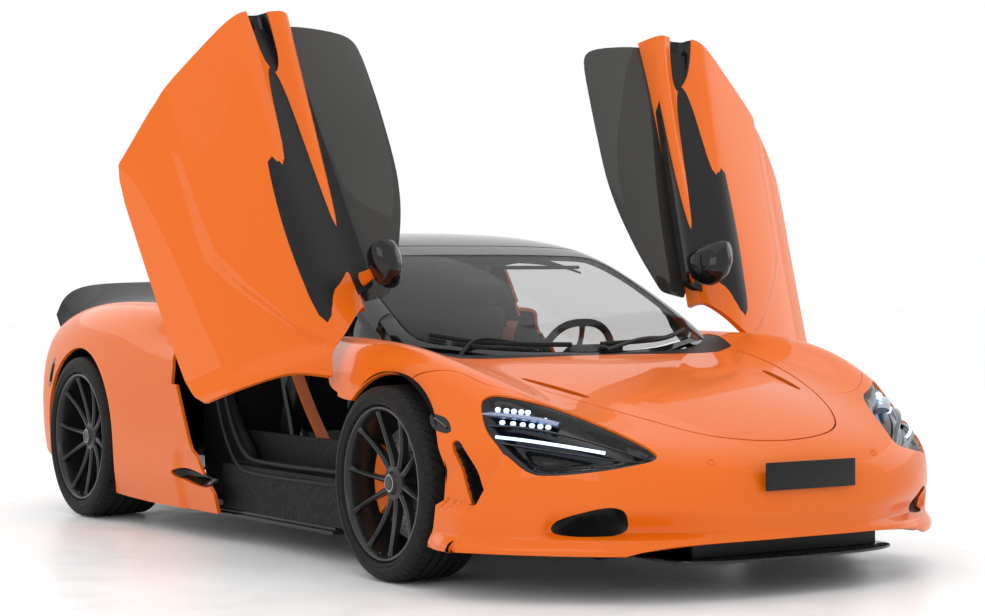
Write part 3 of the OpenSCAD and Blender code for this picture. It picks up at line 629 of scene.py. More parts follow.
def loft(sections, closed_rows=False, caps=True):
    """A solid through closed sections of as many points each."""
    grid = np.array(sections, float)
    rows, columns = grid.shape[:2]
    faces = ring_faces(rows, columns, closed_rows)
    if caps and not closed_rows:
        faces.append(tuple(range(columns - 1, -1, -1)))
        faces.append(tuple((rows - 1) * columns + k for k in range(columns)))
    return grid.reshape(-1, 3), faces


def lathe(profile, centre, segments=96, lift=None):
    """A closed profile of (radius, x) turned about a line along X. lift(angles, k) changes a radius."""
    angles = np.arange(segments) * 2 * math.pi / segments
    rows = []
    for k, (radius, x) in enumerate(profile):
        r = radius + (lift(angles, k) if lift else 0) + 0 * angles
        rows.append(np.stack([np.full(segments, x), r * np.cos(angles), r * np.sin(angles)], 1))
    points, faces = loft(rows, closed_rows=True)
    return points + np.array(centre), faces


def frames_along(path, closed=False):
    """Two cross directions at each point of a path, carried along with no twist."""
    path = np.array(path, float)
    if closed:
        ahead_by = unit(np.roll(path, -1, 0) - np.roll(path, 1, 0))
    else:
        ahead_by = unit(np.gradient(path, axis=0))
    first = np.cross(ahead_by[0], [0, 0, 1.0])
    if np.linalg.norm(first) < 0.1:
        first = np.cross(ahead_by[0], [1.0, 0, 0])
    sideways = [unit(first)]
    for t in ahead_by[1:]:
        v = sideways[-1] - t * np.dot(sideways[-1], t)
        sideways.append(unit(v))
    sideways = np.array(sideways)
    return path, sideways, np.cross(ahead_by, sideways)


def curve_through(points, count, closed=False):
    """A smooth line of count points through a few points."""
    p = np.array(points, float)
    n = len(p)
    total = n if closed else n - 1
    out = []
    for u in np.linspace(0, total, count, endpoint=not closed):
        i = min(int(u), total - 1)
        t = u - i
        if closed:
            a, b, c, d = (p[(i + k) % n] for k in (-1, 0, 1, 2))
        else:
            b, c = p[i], p[i + 1]
            a = p[i - 1] if i > 0 else 2 * b - c
            d = p[i + 2] if i + 2 < n else 2 * c - b
        out.append(0.5 * (2 * b + (c - a) * t + (2 * a - 5 * b + 4 * c - d) * t * t
                          + (3 * b - a - 3 * c + d) * t ** 3))
    return np.array(out)


def tube(path, radius, sides=12, closed=False, squash=1.0):
    """A round or oval bar along a path; radius may be one number or one a point."""
    path, sideways, upwards = frames_along(path, closed)
    radii = np.broadcast_to(np.asarray(radius, float), (len(path),))
    angles = np.arange(sides) * 2 * math.pi / sides
    rows = [p + r * (np.outer(np.cos(angles), a) + squash * np.outer(np.sin(angles), b))
            for p, r, a, b in zip(path, radii, sideways, upwards)]
    return loft(rows, closed_rows=closed)


def rounded_box(low, high, bevel, segments=3):
    """A box between two corners with rounded edges."""
    work = bmesh.new()
    bmesh.ops.create_cube(work, size=1)
    low, high = np.array(low, float), np.array(high, float)
    for vert in work.verts:
        vert.co = Vector(low + (np.array(vert.co) + 0.5) * (high - low))
    bmesh.ops.bevel(work, geom=work.edges[:], offset=bevel, segments=segments, affect="EDGES",
                    profile=0.5)
    work.verts.index_update()
    verts = [list(v.co) for v in work.verts]
    faces = [tuple(v.index for v in face.verts) for face in work.faces]
    work.free()
    return verts, faces


def plate(outline, low, high, bevel=2.0, axes=(0, 1, 2)):
    """A flat outline given a thickness and rounded edges. axes says where its two directions and
    its thickness lie."""
    work = bmesh.new()
    ring = [work.verts.new((p[0], p[1], low)) for p in outline]
    face = work.faces.new(ring)
    grown = bmesh.ops.extrude_face_region(work, geom=[face])
    top = [e for e in grown["geom"] if isinstance(e, bmesh.types.BMVert)]
    for vert in top:
        vert.co.z = high
    bmesh.ops.recalc_face_normals(work, faces=work.faces[:])
    sharp = [e for e in work.edges if len(e.link_faces) == 2 and e.calc_face_angle(0) > 1.0]
    bmesh.ops.bevel(work, geom=sharp, offset=bevel, segments=2, affect="EDGES", profile=0.5)
    work.verts.index_update()
    verts = np.array([list(v.co) for v in work.verts])
    faces = [tuple(v.index for v in f.verts) for f in work.faces]
    work.free()
    placed = np.zeros_like(verts)
    for k, axis in enumerate(axes):
        placed[:, axis] = verts[:, k]
    if np.linalg.det(np.eye(3)[list(axes)]) < 0:
        faces = [tuple(reversed(f)) for f in faces]
    return placed, faces


def two_sided(outline):
    """A half outline in (x, s) and its mirror image, as (x, y)."""
    right = [(-x, YF + s) for x, s in reversed(outline) if x > 0]
    return [(x, YF + s) for x, s in outline] + right


def ball(centre, radii, rings=10, sides=20):
    """A smooth ellipsoid."""
    rows = []
    for k in range(1, rings):
        a = math.pi * k / rings
        angles = np.arange(sides) * 2 * math.pi / sides
        rows.append(np.stack([math.sin(a) * np.cos(angles), math.sin(a) * np.sin(angles),
                              np.full(sides, math.cos(a))], 1) * radii + np.array(centre, float))
    verts, faces = loft(rows[::-1])
    return verts, faces


# ---- materials --------------------------------------------------------------
class Finish:
    """A Principled material whose nodes add colour, gloss and grain detail."""

    def __init__(self, name, colour, rough, metal=0.0, coat=0.0, coat_rough=0.03, sheen=0.0,
                 specular=0.5, alpha=1.0, transmission=0.0, emission=0.0, ior=1.5):
        self.material = bpy.data.materials.new(name)
        self.material.use_nodes = True
        self.tree = self.material.node_tree
        self.shader = next(n for n in self.tree.nodes if n.type == "BSDF_PRINCIPLED")
        self.colour = (*colour, 1)
        self.set("Base Color", self.colour)
        self.set("Roughness", rough)
        self.set("Metallic", metal)
        self.set("Coat Weight", coat)
        self.set("Coat Roughness", coat_rough)
        self.set("Sheen Weight", sheen)
        self.set("Specular IOR Level", specular)
        self.set("Alpha", alpha)
        self.set("Transmission Weight", transmission)
        self.set("IOR", ior)
        if emission:
            self.set("Emission Color", self.colour)
            self.set("Emission Strength", emission)
        self.rough = rough
        self.place = self.node("ShaderNodeTexCoord").outputs["Object"]
        self.height = None

    def node(self, kind, **settings):
        made = self.tree.nodes.new(kind)
        for key, value in settings.items():
            setattr(made, key, value)
        return made

    def set(self, socket, value):
        self.shader.inputs[socket].default_value = value

    def wire(self, a, b):
        self.tree.links.new(a, b)

    def noise(self, scale, detail=3.0, stretch=(1, 1, 1)):
        """Fine noise over the piece; scale is in turns a metre."""
        mapping = self.node("ShaderNodeMapping")
        mapping.inputs["Scale"].default_value = stretch
        self.wire(self.place, mapping.inputs["Vector"])
        noise = self.node("ShaderNodeTexNoise")
        noise.inputs["Scale"].default_value = scale
        noise.inputs["Detail"].default_value = detail
        self.wire(mapping.outputs["Vector"], noise.inputs["Vector"])
        return noise.outputs["Fac"]

    def cells(self, scale, stretch=(1, 1, 1)):
        mapping = self.node("ShaderNodeMapping")
        mapping.inputs["Scale"].default_value = stretch
        self.wire(self.place, mapping.inputs["Vector"])
        cells = self.node("ShaderNodeTexVoronoi")
        cells.inputs["Scale"].default_value = scale
        self.wire(mapping.outputs["Vector"], cells.inputs["Vector"])
        return cells.outputs["Distance"]

    def checker(self, scale, turn=(0, 0, 0)):
        mapping = self.node("ShaderNodeMapping")
        mapping.inputs["Rotation"].default_value = turn
        self.wire(self.place, mapping.inputs["Vector"])
        checker = self.node("ShaderNodeTexChecker")
        checker.inputs["Scale"].default_value = scale
        self.wire(mapping.outputs["Vector"], checker.inputs["Vector"])
        return checker.outputs["Fac"]

    def ranged(self, source, low, high):
        span = self.node("ShaderNodeMapRange")
        span.inputs["From Min"].default_value = 0.3
        span.inputs["From Max"].default_value = 0.7
        span.inputs["To Min"].default_value = low
        span.inputs["To Max"].default_value = high
        self.wire(source, span.inputs["Value"])
        return span.outputs["Result"]

    def tint(self, source, other, low=0.3, high=0.7):
        """The base colour changes towards another where the source is high."""
        ramp = self.node("ShaderNodeValToRGB")
        ramp.color_ramp.elements[0].position = low
        ramp.color_ramp.elements[0].color = self.colour
        ramp.color_ramp.elements[1].position = high
        ramp.color_ramp.elements[1].color = (*other, 1)
        self.wire(source, ramp.inputs["Fac"])
        self.wire(ramp.outputs["Color"], self.shader.inputs["Base Color"])
        return self

    def gloss(self, source, spread):
        self.wire(self.ranged(source, max(0.0, self.rough - spread), self.rough + spread),
                  self.shader.inputs["Roughness"])
        return self

    def bump(self, source, depth_mm, strength=1.0):
        bump = self.node("ShaderNodeBump")
        bump.inputs["Strength"].default_value = strength
        bump.inputs["Distance"].default_value = depth_mm * MM
        self.wire(source, bump.inputs["Height"])
        if self.height:
            self.wire(self.height, bump.inputs["Normal"])
        self.height = bump.outputs["Normal"]
        self.wire(self.height, self.shader.inputs["Normal"])
        return self


def shade(colour, factor):
    return tuple(c * factor for c in colour)


def finishes():
    made = {}

    def keep(finish):
        made[finish.material.name] = finish.material
        return finish

    orange = (0.72, 0.125, 0.002)
    paint = keep(Finish("orange_paint", orange, 0.42, coat=0.42, coat_rough=0.025, specular=0.12))
    paint.tint(paint.noise(900, 2), (0.78, 0.15, 0.004), 0.42, 0.72)
    paint.gloss(paint.noise(40), 0.03)
    paint.bump(paint.noise(1500, 1), 0.004, 0.4)
    gloss = keep(Finish("gloss_black", (0.004, 0.004, 0.005), 0.12, coat=0.45, specular=0.15))
    gloss.tint(gloss.noise(60), (0.008, 0.008, 0.009)).gloss(gloss.noise(25), 0.03)
    satin = keep(Finish("satin_black", (0.006, 0.006, 0.007), 0.42, specular=0.22))
    satin.tint(satin.noise(120), (0.011, 0.011, 0.012)).gloss(satin.noise(80), 0.07)
    satin.bump(satin.noise(2500, 2), 0.02, 0.5)
    wheel = keep(Finish("wheel_black", (0.008, 0.008, 0.009), 0.32, coat=0.3, coat_rough=0.2,
                        specular=0.25))
    wheel.tint(wheel.noise(260), (0.014, 0.014, 0.015)).gloss(wheel.noise(90), 0.06)
    plastic = keep(Finish("grained_plastic", (0.004, 0.004, 0.004), 0.62, specular=0.18))
    plastic.tint(plastic.noise(90), (0.008, 0.008, 0.008)).bump(plastic.cells(900), 0.08, 0.6)
    plastic.gloss(plastic.noise(60), 0.08)
    liner = keep(Finish("liner_felt", (0.004, 0.004, 0.004), 0.9, specular=0.1))
    liner.tint(liner.noise(400), (0.008, 0.008, 0.008)).bump(liner.noise(1300), 0.3, 0.8)
    carbon = keep(Finish("carbon_weave", (0.005, 0.005, 0.006), 0.3, coat=0.4, coat_rough=0.04,
                         specular=0.2))
    weave = carbon.checker(260, (0.0, 0.0, math.radians(45)))
    carbon.tint(weave, (0.018, 0.018, 0.02), 0.0, 1.0).bump(weave, 0.02, 0.3)
    carbon.gloss(carbon.noise(180), 0.06)
    rubber = keep(Finish("tyre_rubber", (0.006, 0.006, 0.006), 0.66, specular=0.2))
    rubber.tint(rubber.noise(55, 5), (0.012, 0.0118, 0.0115)).gloss(rubber.noise(150), 0.08)
    rubber.bump(rubber.noise(1400), 0.08, 0.5)
    seal = keep(Finish("seal_rubber", (0.005, 0.005, 0.005), 0.6, specular=0.25))
    seal.tint(seal.noise(200), (0.01, 0.01, 0.01)).bump(seal.noise(900), 0.06, 0.4)
    leather = keep(Finish("black_leather", (0.006, 0.0058, 0.0056), 0.5, specular=0.25))
    leather.tint(leather.noise(35), (0.012, 0.0115, 0.011)).bump(leather.cells(700), 0.16, 0.7)
    leather.gloss(leather.noise(50), 0.08)
    suede = keep(Finish("dark_suede", (0.007, 0.007, 0.007), 0.92, specular=0.08))
    suede.tint(suede.noise(500, 4), (0.015, 0.015, 0.015)).bump(suede.noise(1900), 0.2, 0.6)
    webbing = keep(Finish("orange_webbing", (0.72, 0.15, 0.02), 0.75, sheen=0.3))
    webbing.tint(webbing.checker(500), (0.5, 0.1, 0.012), 0.0, 1.0)
    webbing.bump(webbing.checker(500), 0.2, 0.5)
    metal = keep(Finish("brushed_metal", (0.5, 0.5, 0.51), 0.3, metal=1.0))
    metal.tint(metal.noise(30, 4), (0.36, 0.36, 0.37)).gloss(metal.noise(500, 2, (1, 1, 0.05)), 0.1)
    disc = keep(Finish("brake_disc", (0.16, 0.16, 0.165), 0.4, metal=1.0))
    disc.tint(disc.noise(300, 3, (0.05, 1, 1)), (0.26, 0.26, 0.27)).gloss(disc.noise(200), 0.1)
    cast = keep(Finish("cast_metal", (0.09, 0.09, 0.095), 0.55, metal=0.8))
    cast.tint(cast.noise(70, 4), (0.15, 0.15, 0.155)).bump(cast.noise(500), 0.2, 0.6)
    calliper = keep(Finish("orange_calliper", (0.8, 0.13, 0.01), 0.35, coat=0.6, coat_rough=0.1))
    calliper.tint(calliper.noise(120), (0.9, 0.19, 0.02)).gloss(calliper.noise(80), 0.06)
    steel = keep(Finish("exhaust_steel", (0.33, 0.31, 0.29), 0.28, metal=1.0))
    steel.tint(steel.noise(22, 4), (0.45, 0.38, 0.3)).gloss(steel.noise(90), 0.1)
    white = keep(Finish("lamp_white", (0.55, 0.72, 1.0), 0.2, emission=1.6))
    white.tint(white.noise(300), (0.4, 0.6, 1.0))
    lens = keep(Finish("lamp_glass", (0.3, 0.36, 0.5), 0.08, metal=0.5, coat=0.5))
    lens.tint(lens.noise(300), (0.12, 0.16, 0.28)).gloss(lens.noise(200), 0.03)
    socket = keep(Finish("socket_black", (0.003, 0.003, 0.004), 0.16, coat=0.25, coat_rough=0.08,
                         specular=0.15))
    socket.tint(socket.noise(70), (0.010, 0.010, 0.012)).gloss(socket.noise(30), 0.05)
    red = keep(Finish("lamp_red", (0.45, 0.008, 0.006), 0.15, coat=1.0, emission=0.25))
    red.tint(red.cells(260), (0.62, 0.02, 0.012)).gloss(red.noise(120), 0.04)
    amber = keep(Finish("amber_marker", (0.02, 0.012, 0.008), 0.2, coat=0.4))
    amber.tint(amber.cells(300), (0.035, 0.018, 0.01)).gloss(amber.noise(100), 0.05)
    mirror = keep(Finish("mirror_glass", (0.75, 0.77, 0.78), 0.02, metal=1.0))
    mirror.tint(mirror.noise(6), (0.7, 0.72, 0.74)).gloss(mirror.noise(20), 0.01)
    print_ = keep(Finish("blank_plate", (0.006, 0.006, 0.006), 0.35, coat=0.1, specular=0.2))
    print_.tint(print_.noise(150), (0.013, 0.013, 0.013)).gloss(print_.noise(70), 0.05)
    mesh = keep(Finish("mesh_black", (0.006, 0.006, 0.006), 0.5))
    mesh.tint(mesh.cells(220), (0.0015, 0.0015, 0.0015), 0.2, 0.5)
    mesh.bump(mesh.cells(220), 1.5, 0.8)
    for name, tone, tail in (("clear_glass", (0.012, 0.013, 0.014), 0.3),
                             ("tinted_glass", (0.022, 0.021, 0.019), 0.93)):
        pane = keep(Finish(name, tone, 0.02, alpha=tail, coat=0.3, coat_rough=0.01, specular=0.25))
        pane.tint(pane.noise(3), shade(tone, 1.25)).gloss(pane.noise(5), 0.008)
    return made


M = finishes()
PAINTED = [M["orange_paint"], M["satin_black"]]
BLACK_PANEL = [M["gloss_black"], M["satin_black"]]


# ---- the two skins --------------------------------------------------------------
def shape_nose(points):
    """Shapes the lower lip, the door's fold, the nose channel and the corner scoops."""
    x, s, z = np.abs(points[..., 0]), points[..., 1] - YF, points[..., 2]
    top = 268 + 32 * smooth((x - 120) / 420)
    depth = 10 + 34 * smooth((x - 230) / 330)
    depth = depth * smooth((800 - x) / 50) * (s < -560)
    channel = depth * smooth((z - 200) / 12) * (1 - smooth((z - 226) / (top - 222)))
    points[..., 1] += channel
    edge = smooth((np.abs(x) - 480) / 430)
    flare = (13 + 24 * smooth((x - 300) / 400)) * smooth((206 - z) / 46) * smooth((-250 - s) / 200)
    points[..., 0] += np.sign(points[..., 0]) * flare * edge
    points[..., 1] -= flare * (1 - edge)
    fold_line = np.interp(s, [480, 572, 687, 780, 902, 1000, 1560, 1700],
                          [638, 553, 475, 412, 352, 343, 346, 352])
    fold = smooth((fold_line - z) / 24) * smooth((s - 440) / 60) * smooth((1720 - s) / 60)
    points[..., 0] -= np.sign(points[..., 0]) * 13 * fold * (np.abs(x) > 700)
    scoop = smooth((z - 288) / 8) * (1 - smooth((z - 380) / 110))
    scoop = scoop * smooth((s + 560 + (z - 300) * 0.42) / 30) * smooth((-300 - s) / 60)
    points[..., 0] -= np.sign(points[..., 0]) * 30 * scoop * (x > 700)


BODY_CONTROL = control_grid(BODY_ROWS, 950, 3)
CANOPY_CONTROL = control_grid(CANOPY_ROWS, 700, 2)
body_points = spline_sheet(BODY_CONTROL, CELL, finer_rows=6)
plain_points = body_points.copy()
shape_nose(body_points)
BODY = skin(body_points)
CANOPY = skin(spline_sheet(CANOPY_CONTROL, CELL))
LEFT_BODY = trim(BODY, left_half)
LEFT_CANOPY = trim(CANOPY, left_half)


def pressed(mesh, depth):
    """The same skin moved inwards."""
    verts, normals, faces = mesh
    return verts - normals * depth, normals, faces


def whole(mesh, index=0):
    """A thin skin with one material, shown as it is."""
    return (*mesh, np.full(len(mesh[2]), index))


# ---- painted panels -----------------------------------------------------------------
def build_nose():
    """The front bumper, both front fenders, the cowl and the bonnet."""
    bumper = trim(BODY, inside(plan(BUMPER), 0), outside(plan(BONNET)), outside(front(HEADLIGHT)),
                  FRONT_ARCH, either(outside(side(CORNER_SLOT), EDGE), inboard(700)),
                  outside(front(LOWER_INTAKE), EDGE), outside(front(NOSE_MOUTH), EDGE))
    show("front_bumper_skin", panel(bumper, 14), PAINTED,
         replaced=["front_bumper"])
    fender = trim(LEFT_BODY, behind(-600), ahead(700), outside(plan(BUMPER), GAP * 2),
                  outside(plan(BONNET)), outside(plan(COWL)), outside(front(HEADLIGHT)),
                  outside(OVER_SEAM), FRONT_ARCH, outside(IN_DOOR), outside(side(FENDER_CUT), EDGE),
                  above(300))
    solid = panel(fender, 14)
    show("left_front_fender_skin", solid, PAINTED, replaced=["left_front_fender"])
    show("right_front_fender_skin", mirrored(solid), PAINTED,
         replaced=["right_front_fender"])
    cowl = trim(BODY, inside(plan(COWL), 0), outside(OVER_SEAM))
    show("cowl_skin", panel(pressed(cowl, 3), 8), [M["satin_black"], M["satin_black"]],
         replaced=["cowl"])
    bonnet = trim(BODY, inside(plan(BONNET)), outside(OVER_SEAM), outside(plan(BONNET_VENT), EDGE))
    show("bonnet_skin", panel(bonnet, 14), PAINTED, "bonnet", ["bonnet"])


def build_doors():
    """Each door's outer skin and its window."""
    door = trim(LEFT_BODY, inside(IN_DOOR), outside(OVER_SEAM, EDGE),
                either(outside(side(DOOR_DUCT), EDGE), inboard(700)))
    shell = panel(door, 22)
    glass = trim(LEFT_CANOPY, inside(IN_GLASS, 2), above(790))
    pane = panel(glass, 5, 0.8)
    for hand, turned in (("left", lambda m: m), ("right", mirrored)):
        body = f"{hand}_door"
        show(f"{hand}_door_skin", turned(turn_door(shell)), PAINTED, body, [f"{hand}_door"])
        show(f"{hand}_door_window", turned(turn_door(pane)), [M["tinted_glass"]] * 2, body,
             [f"{hand}_door_glass"])


def build_rear():
    """Both rear fenders, the rear bumper, the deck and the rear window."""
    fender = trim(LEFT_BODY, behind(1404), ahead(3092), outside(IN_DOOR), either(behind(1762), below(598)),
                  outside(OVER_SEAM), REAR_ARCH, either(outside(side(SILL_INTAKE), EDGE), inboard(700)))
    solid = panel(fender, 14)
    show("left_rear_fender_skin", solid, PAINTED, replaced=["left_rear_fender"])
    show("right_rear_fender_skin", mirrored(solid), PAINTED,
         replaced=["right_rear_fender"])
    tail = trim(BODY, behind(3096), either(behind(3206), outboard(500)), outside(OVER_SEAM),
                outside(front(TAIL_LIGHT)), outside(front(TAIL_GRILLE), EDGE),
                outside(front(TAIL_MOUTH), EDGE))
    show("rear_bumper_skin", panel(tail, 14), PAINTED, replaced=["rear_bumper"])
    deck = trim(CANOPY, behind(1650), ahead(3110), above(852), outside(IN_GLASS), outside(IN_DOOR),
                outside(plan(REAR_WINDOW)), outside(plan(DECK_VENT), EDGE))
    shelf = trim(BODY, behind(2952), ahead(3202), inboard(496), outside(OVER_SEAM, EDGE))
    show("rear_deck_skin", joined(panel(deck, 14), panel(shelf, 12)), PAINTED,
         replaced=["rear_deck"])
    window = trim(CANOPY, inside(plan(REAR_WINDOW)))
    show("rear_window_pane", panel(window, 5, 0.8), [M["clear_glass"]] * 2,
         replaced=["rear_window"])


def build_canopy():
    """The windscreen with its black surround, and the roof panel."""
    screen = trim(CANOPY, inside(plan(WINDSCREEN)))
    show("windscreen_pane", panel(screen, 5, 0.8), [M["clear_glass"]] * 2,
         replaced=["windscreen"])
    pillar = [(560, 700), (616, 820), (622, 880), (1800, 880), (1800, 700)]
    surround = trim(CANOPY, inside(plan(SCREEN_FRAME), 0), outside(plan(WINDSCREEN)), outside(IN_GLASS),
                    outside(side(pillar, 0.1), EDGE), outside(IN_DOOR))
    show("windscreen_surround", panel(surround, 22), BLACK_PANEL,
         replaced=["windscreen_frame"])
    low_side = [(1000, 700), (1800, 700), (1800, 1080), (1000, 1080)]
    roof = trim(CANOPY, inside(plan(ROOF)), outside(IN_GLASS), outside(side(low_side, 0.05), EDGE))
    show("roof_skin", panel(roof, 26), BLACK_PANEL, replaced=["roof_panel"])


build_nose()
build_doors()
build_rear()
build_canopy()


# ---- hollows behind the openings of the skin ---------------------------------------------
def bowl(mesh, value, depth, reach=22, rim=9, grow=8):
    """A hollow that starts just behind the skin at an opening's edge and sinks away inside it."""
    verts, normals, faces = trim(mesh, lambda v: value(v) + grow)
    sunk = verts - normals * (rim + (depth - rim) * smooth((value(verts) + 2) / reach))[:, None]
    return sunk, corner_normals(sunk, faces), faces


PLAIN = skin(plain_points)
LEFT_PLAIN = trim(PLAIN, left_half)
NOSE_HALF = trim(LEFT_PLAIN, ahead(-380))


def on_nose(x, z, out=0.0):
    """A point of the nose at (x, z), moved out from the skin, and the skin's normal there."""
    verts, normals, _ = NOSE_HALF
    near = np.argsort((verts[:, 0] - x) ** 2 + (verts[:, 2] - z) ** 2)[:6]
    weight = 1 / (np.hypot(verts[near, 0] - x, verts[near, 2] - z) + 1)
    weight = weight / weight.sum()
    normal = unit((normals[near] * weight[:, None]).sum(0))
    spot = (verts[near] * weight[:, None]).sum(0)
    return np.array([x, spot[1], z]) + normal * out, normal


def build_hollows():
    """The dark hollows behind the slots, intakes, vents and grilles."""
    slot = trim(LEFT_BODY, ahead(-300), outboard(700))
    pocket = whole(bowl(slot, side(CORNER_SLOT), 60))
    intake = whole(bowl(trim(LEFT_BODY, ahead(-380)), front(LOWER_INTAKE), 90, 40), 1)
    sill = whole(bowl(trim(LEFT_BODY, outboard(700), outside(IN_DOOR, 8)), side(SILL_INTAKE), 55), 0)
    mouth = whole(bowl(trim(PLAIN, ahead(-600)), front(NOSE_MOUTH), 120, 30), 1)
    vent = whole(bowl(LEFT_PLAIN, plan(BONNET_VENT), 30, 14), 0)
    black = [M["socket_black"], M["mesh_black"]]
    hollows = joined(pocket, mirrored(pocket), intake, mirrored(intake), sill, mirrored(sill), mouth)
    show("skin_hollows", hollows, black)
    show("bonnet_vent_hollows", joined(vent, mirrored(vent)), black, "bonnet")
    deck = whole(bowl(LEFT_CANOPY, plan(DECK_VENT), 40), 1)
    grille = whole(bowl(trim(PLAIN, behind(3200)), front(TAIL_GRILLE), 50), 1)
    low = whole(bowl(trim(PLAIN, behind(3200)), front(TAIL_MOUTH), 80), 1)
    show("tail_hollows", joined(deck, mirrored(deck), grille, low), black)
    duct = whole(bowl(trim(LEFT_PLAIN, outboard(700), inside(IN_DOOR, 3)), side(DOOR_DUCT), 42, 26))
    show("left_door_duct", turn_door(duct), black, "left_door")
    show("right_door_duct", mirrored(turn_door(duct)), black, "right_door")


# ---- lights -----------------------------------------------------------------------------
def build_headlights():
    """The black lamp pockets with their light blobs and running-light bars."""
    socket = whole(bowl(NOSE_HALF, front(HEADLIGHT), 46, 34, 8))
    show("headlight_sockets", joined(socket, mirrored(socket)), [M["socket_black"]],
         replaced=["headlights"])
    lamps = Pieces()
    for row, (z, first, last, count) in enumerate([(606, 826, 735, 6), (588, 838, 700, 8),
                                                   (569, 842, 712, 7)]):
        for x in np.linspace(first, last, count):
            centre = on_nose(x, z - 0.05 * (836 - x), -24 - 4 * row)[0]
            lamps.add(*ball(centre, np.array([9.5, 9.5, 8.0]), 7, 12), 0)
    bar = [on_nose(x, z, -12)[0] for x, z in [(849, 512), (800, 505), (740, 494), (680, 482), (622, 470)]]
    lamps.add(*tube(curve_through(bar, 30), 5.2, 10), 0)
    hood = [on_nose(x, z, -20)[0] for x, z in [(852, 548), (790, 548), (700, 530), (600, 496),
                                               (510, 454)]]
    lamps.add(*tube(curve_through(hood, 30), np.linspace(13, 5, 30), 12, squash=0.45), 1)
    under = [on_nose(x, z, -22)[0] for x, z in [(846, 496), (790, 484), (700, 468), (600, 452),
                                                (520, 446)]]
    lamps.add(*tube(curve_through(under, 30), np.linspace(11, 4, 30), 12, squash=0.45), 1)
    tray = [on_nose(x, z, -30)[0] for x, z in [(842, 590), (790, 590), (720, 582), (670, 568)]]
    lamps.add(*tube(curve_through(tray, 24), 26, 14, squash=0.4), 2)
    lamps.mirror()
    lamps.show("headlight_lamps", [M["lamp_white"], M["gloss_black"], M["lamp_glass"]], slot="headlight")


def build_markers():
    """The side markers with a thin bright line each, and the parking sensor rings."""
    marker = [(-256, 574), (-350, 560), (-394, 508), (-290, 522)]
    patch = panel(trim(LEFT_PLAIN, inside(side(marker), 0), outboard(700)), 6, 1.5)
    lifted = (patch[0] + [1.2, 0, 0], *patch[1:])
    rear = [(2972, 690), (3030, 655), (3052, 540), (3000, 560)]
    back = panel(trim(LEFT_PLAIN, inside(side(rear), 0), outboard(700)), 6, 1.5)
    back = (back[0] + [1.2, 0, 0], *back[1:])
    show("side_markers", joined(lifted, mirrored(lifted), back, mirrored(back)),
         [M["gloss_black"]] * 2)
    strips = Pieces()
    out = 3.0
    for line in ([(-285, 552), (-345, 541), (-366, 528)], [(2990, 650), (3014, 600), (3020, 570)]):
        verts, normals, _ = LEFT_PLAIN
        path = []
        for s, z in line:
            far = (verts[:, 1] - YF - s) ** 2 + (verts[:, 2] - z) ** 2 + 1e6 * (verts[:, 0] < 700)
            path.append(verts[far.argmin()] + normals[far.argmin()] * out)
        strips.add(*tube(curve_through(path, 12), 4, 8))
    strips.mirror()
    strips.show("side_marker_strips", [M["amber_marker"]], slot="fender_paint")
    dots = Pieces()
    for x, z in [(330, 430), (640, 385)]:
        centre, normal = on_nose(x, z, 0.2)
        path, a, b = frames_along([centre, centre + normal * 1.2])
        angles = np.arange(28) * 2 * math.pi / 28
        ring = centre + 12 * (np.outer(np.cos(angles), a[0]) + np.outer(np.sin(angles), b[0]))
        dots.add(*tube(ring, 1.0, 6, closed=True))
    dots.mirror()
    dots.show("parking_sensors", [M["orange_paint"]], slot="bumper_paint")


def build_tail_lights():
    """The tail lamp pockets with their red bars."""
    socket = whole(bowl(trim(LEFT_PLAIN, behind(3230)), front(TAIL_LIGHT), 30, 16, 8))
    show("tail_light_sockets", joined(socket, mirrored(socket)), [M["socket_black"]],
         replaced=["tail_lights"])
    verts, normals, _ = trim(LEFT_PLAIN, behind(3230))
    strips = Pieces()
    for lift in (0, 1):
        path = []
        for x, z in [(520, 722), (640, 708), (760, 692), (872, 678)]:
            near = ((verts[:, 0] - x) ** 2 + (verts[:, 2] - z + 16 * lift) ** 2).argmin()
            path.append(verts[near] - normals[near] * 12)
        strips.add(*tube(curve_through(path, 40), 5.5, 10))
    strips.mirror()
    strips.show("tail_light_strips", [M["lamp_red"]], slot="tail_light")


# ---- wheels ------------------------------------------------------------------------------
def tyre_profile(width, tread_radius, bead):
    """Closed section from the inner bead over the tread; the numbers of its tread points too."""
    h = width / 2
    wall = [(bead + 2, -h + 16), (bead + 8, -h + 5), (bead + 16, -h + 2), (bead + 22, -h + 3.5),
            (bead + 30, -h - 0.5), (tread_radius - 30, -h + 1), (tread_radius - 16, -h + 7),
            (tread_radius - 7, -h + 15)]
    tread = []
    grooves = [-0.52, -0.18, 0.18, 0.52]
    half = h - 24
    for u in np.linspace(-1, 1, 13):
        drop = 3.0 * abs(u) ** 2.5
        tread.append((tread_radius - drop, half * u))
    for g in grooves:
        for offset, down in ((-5.5, 0), (-4.5, 6.5), (4.5, 6.5), (5.5, 0)):
            x = half * g + offset
            drop = 3.0 * abs(g) ** 2.5
            tread.append((tread_radius - drop - down, x))
    tread.sort(key=lambda p: p[1])
    kept = [p for p in tread if p[0] < tread_radius - 5 or not any(
        abs(p[1] - half * g) < 5.2 for g in grooves)]
    other = [(r, -x) for r, x in reversed(wall)]
    first = len(wall)
    return wall + kept + other, range(first - 1, first + len(kept) + 1)


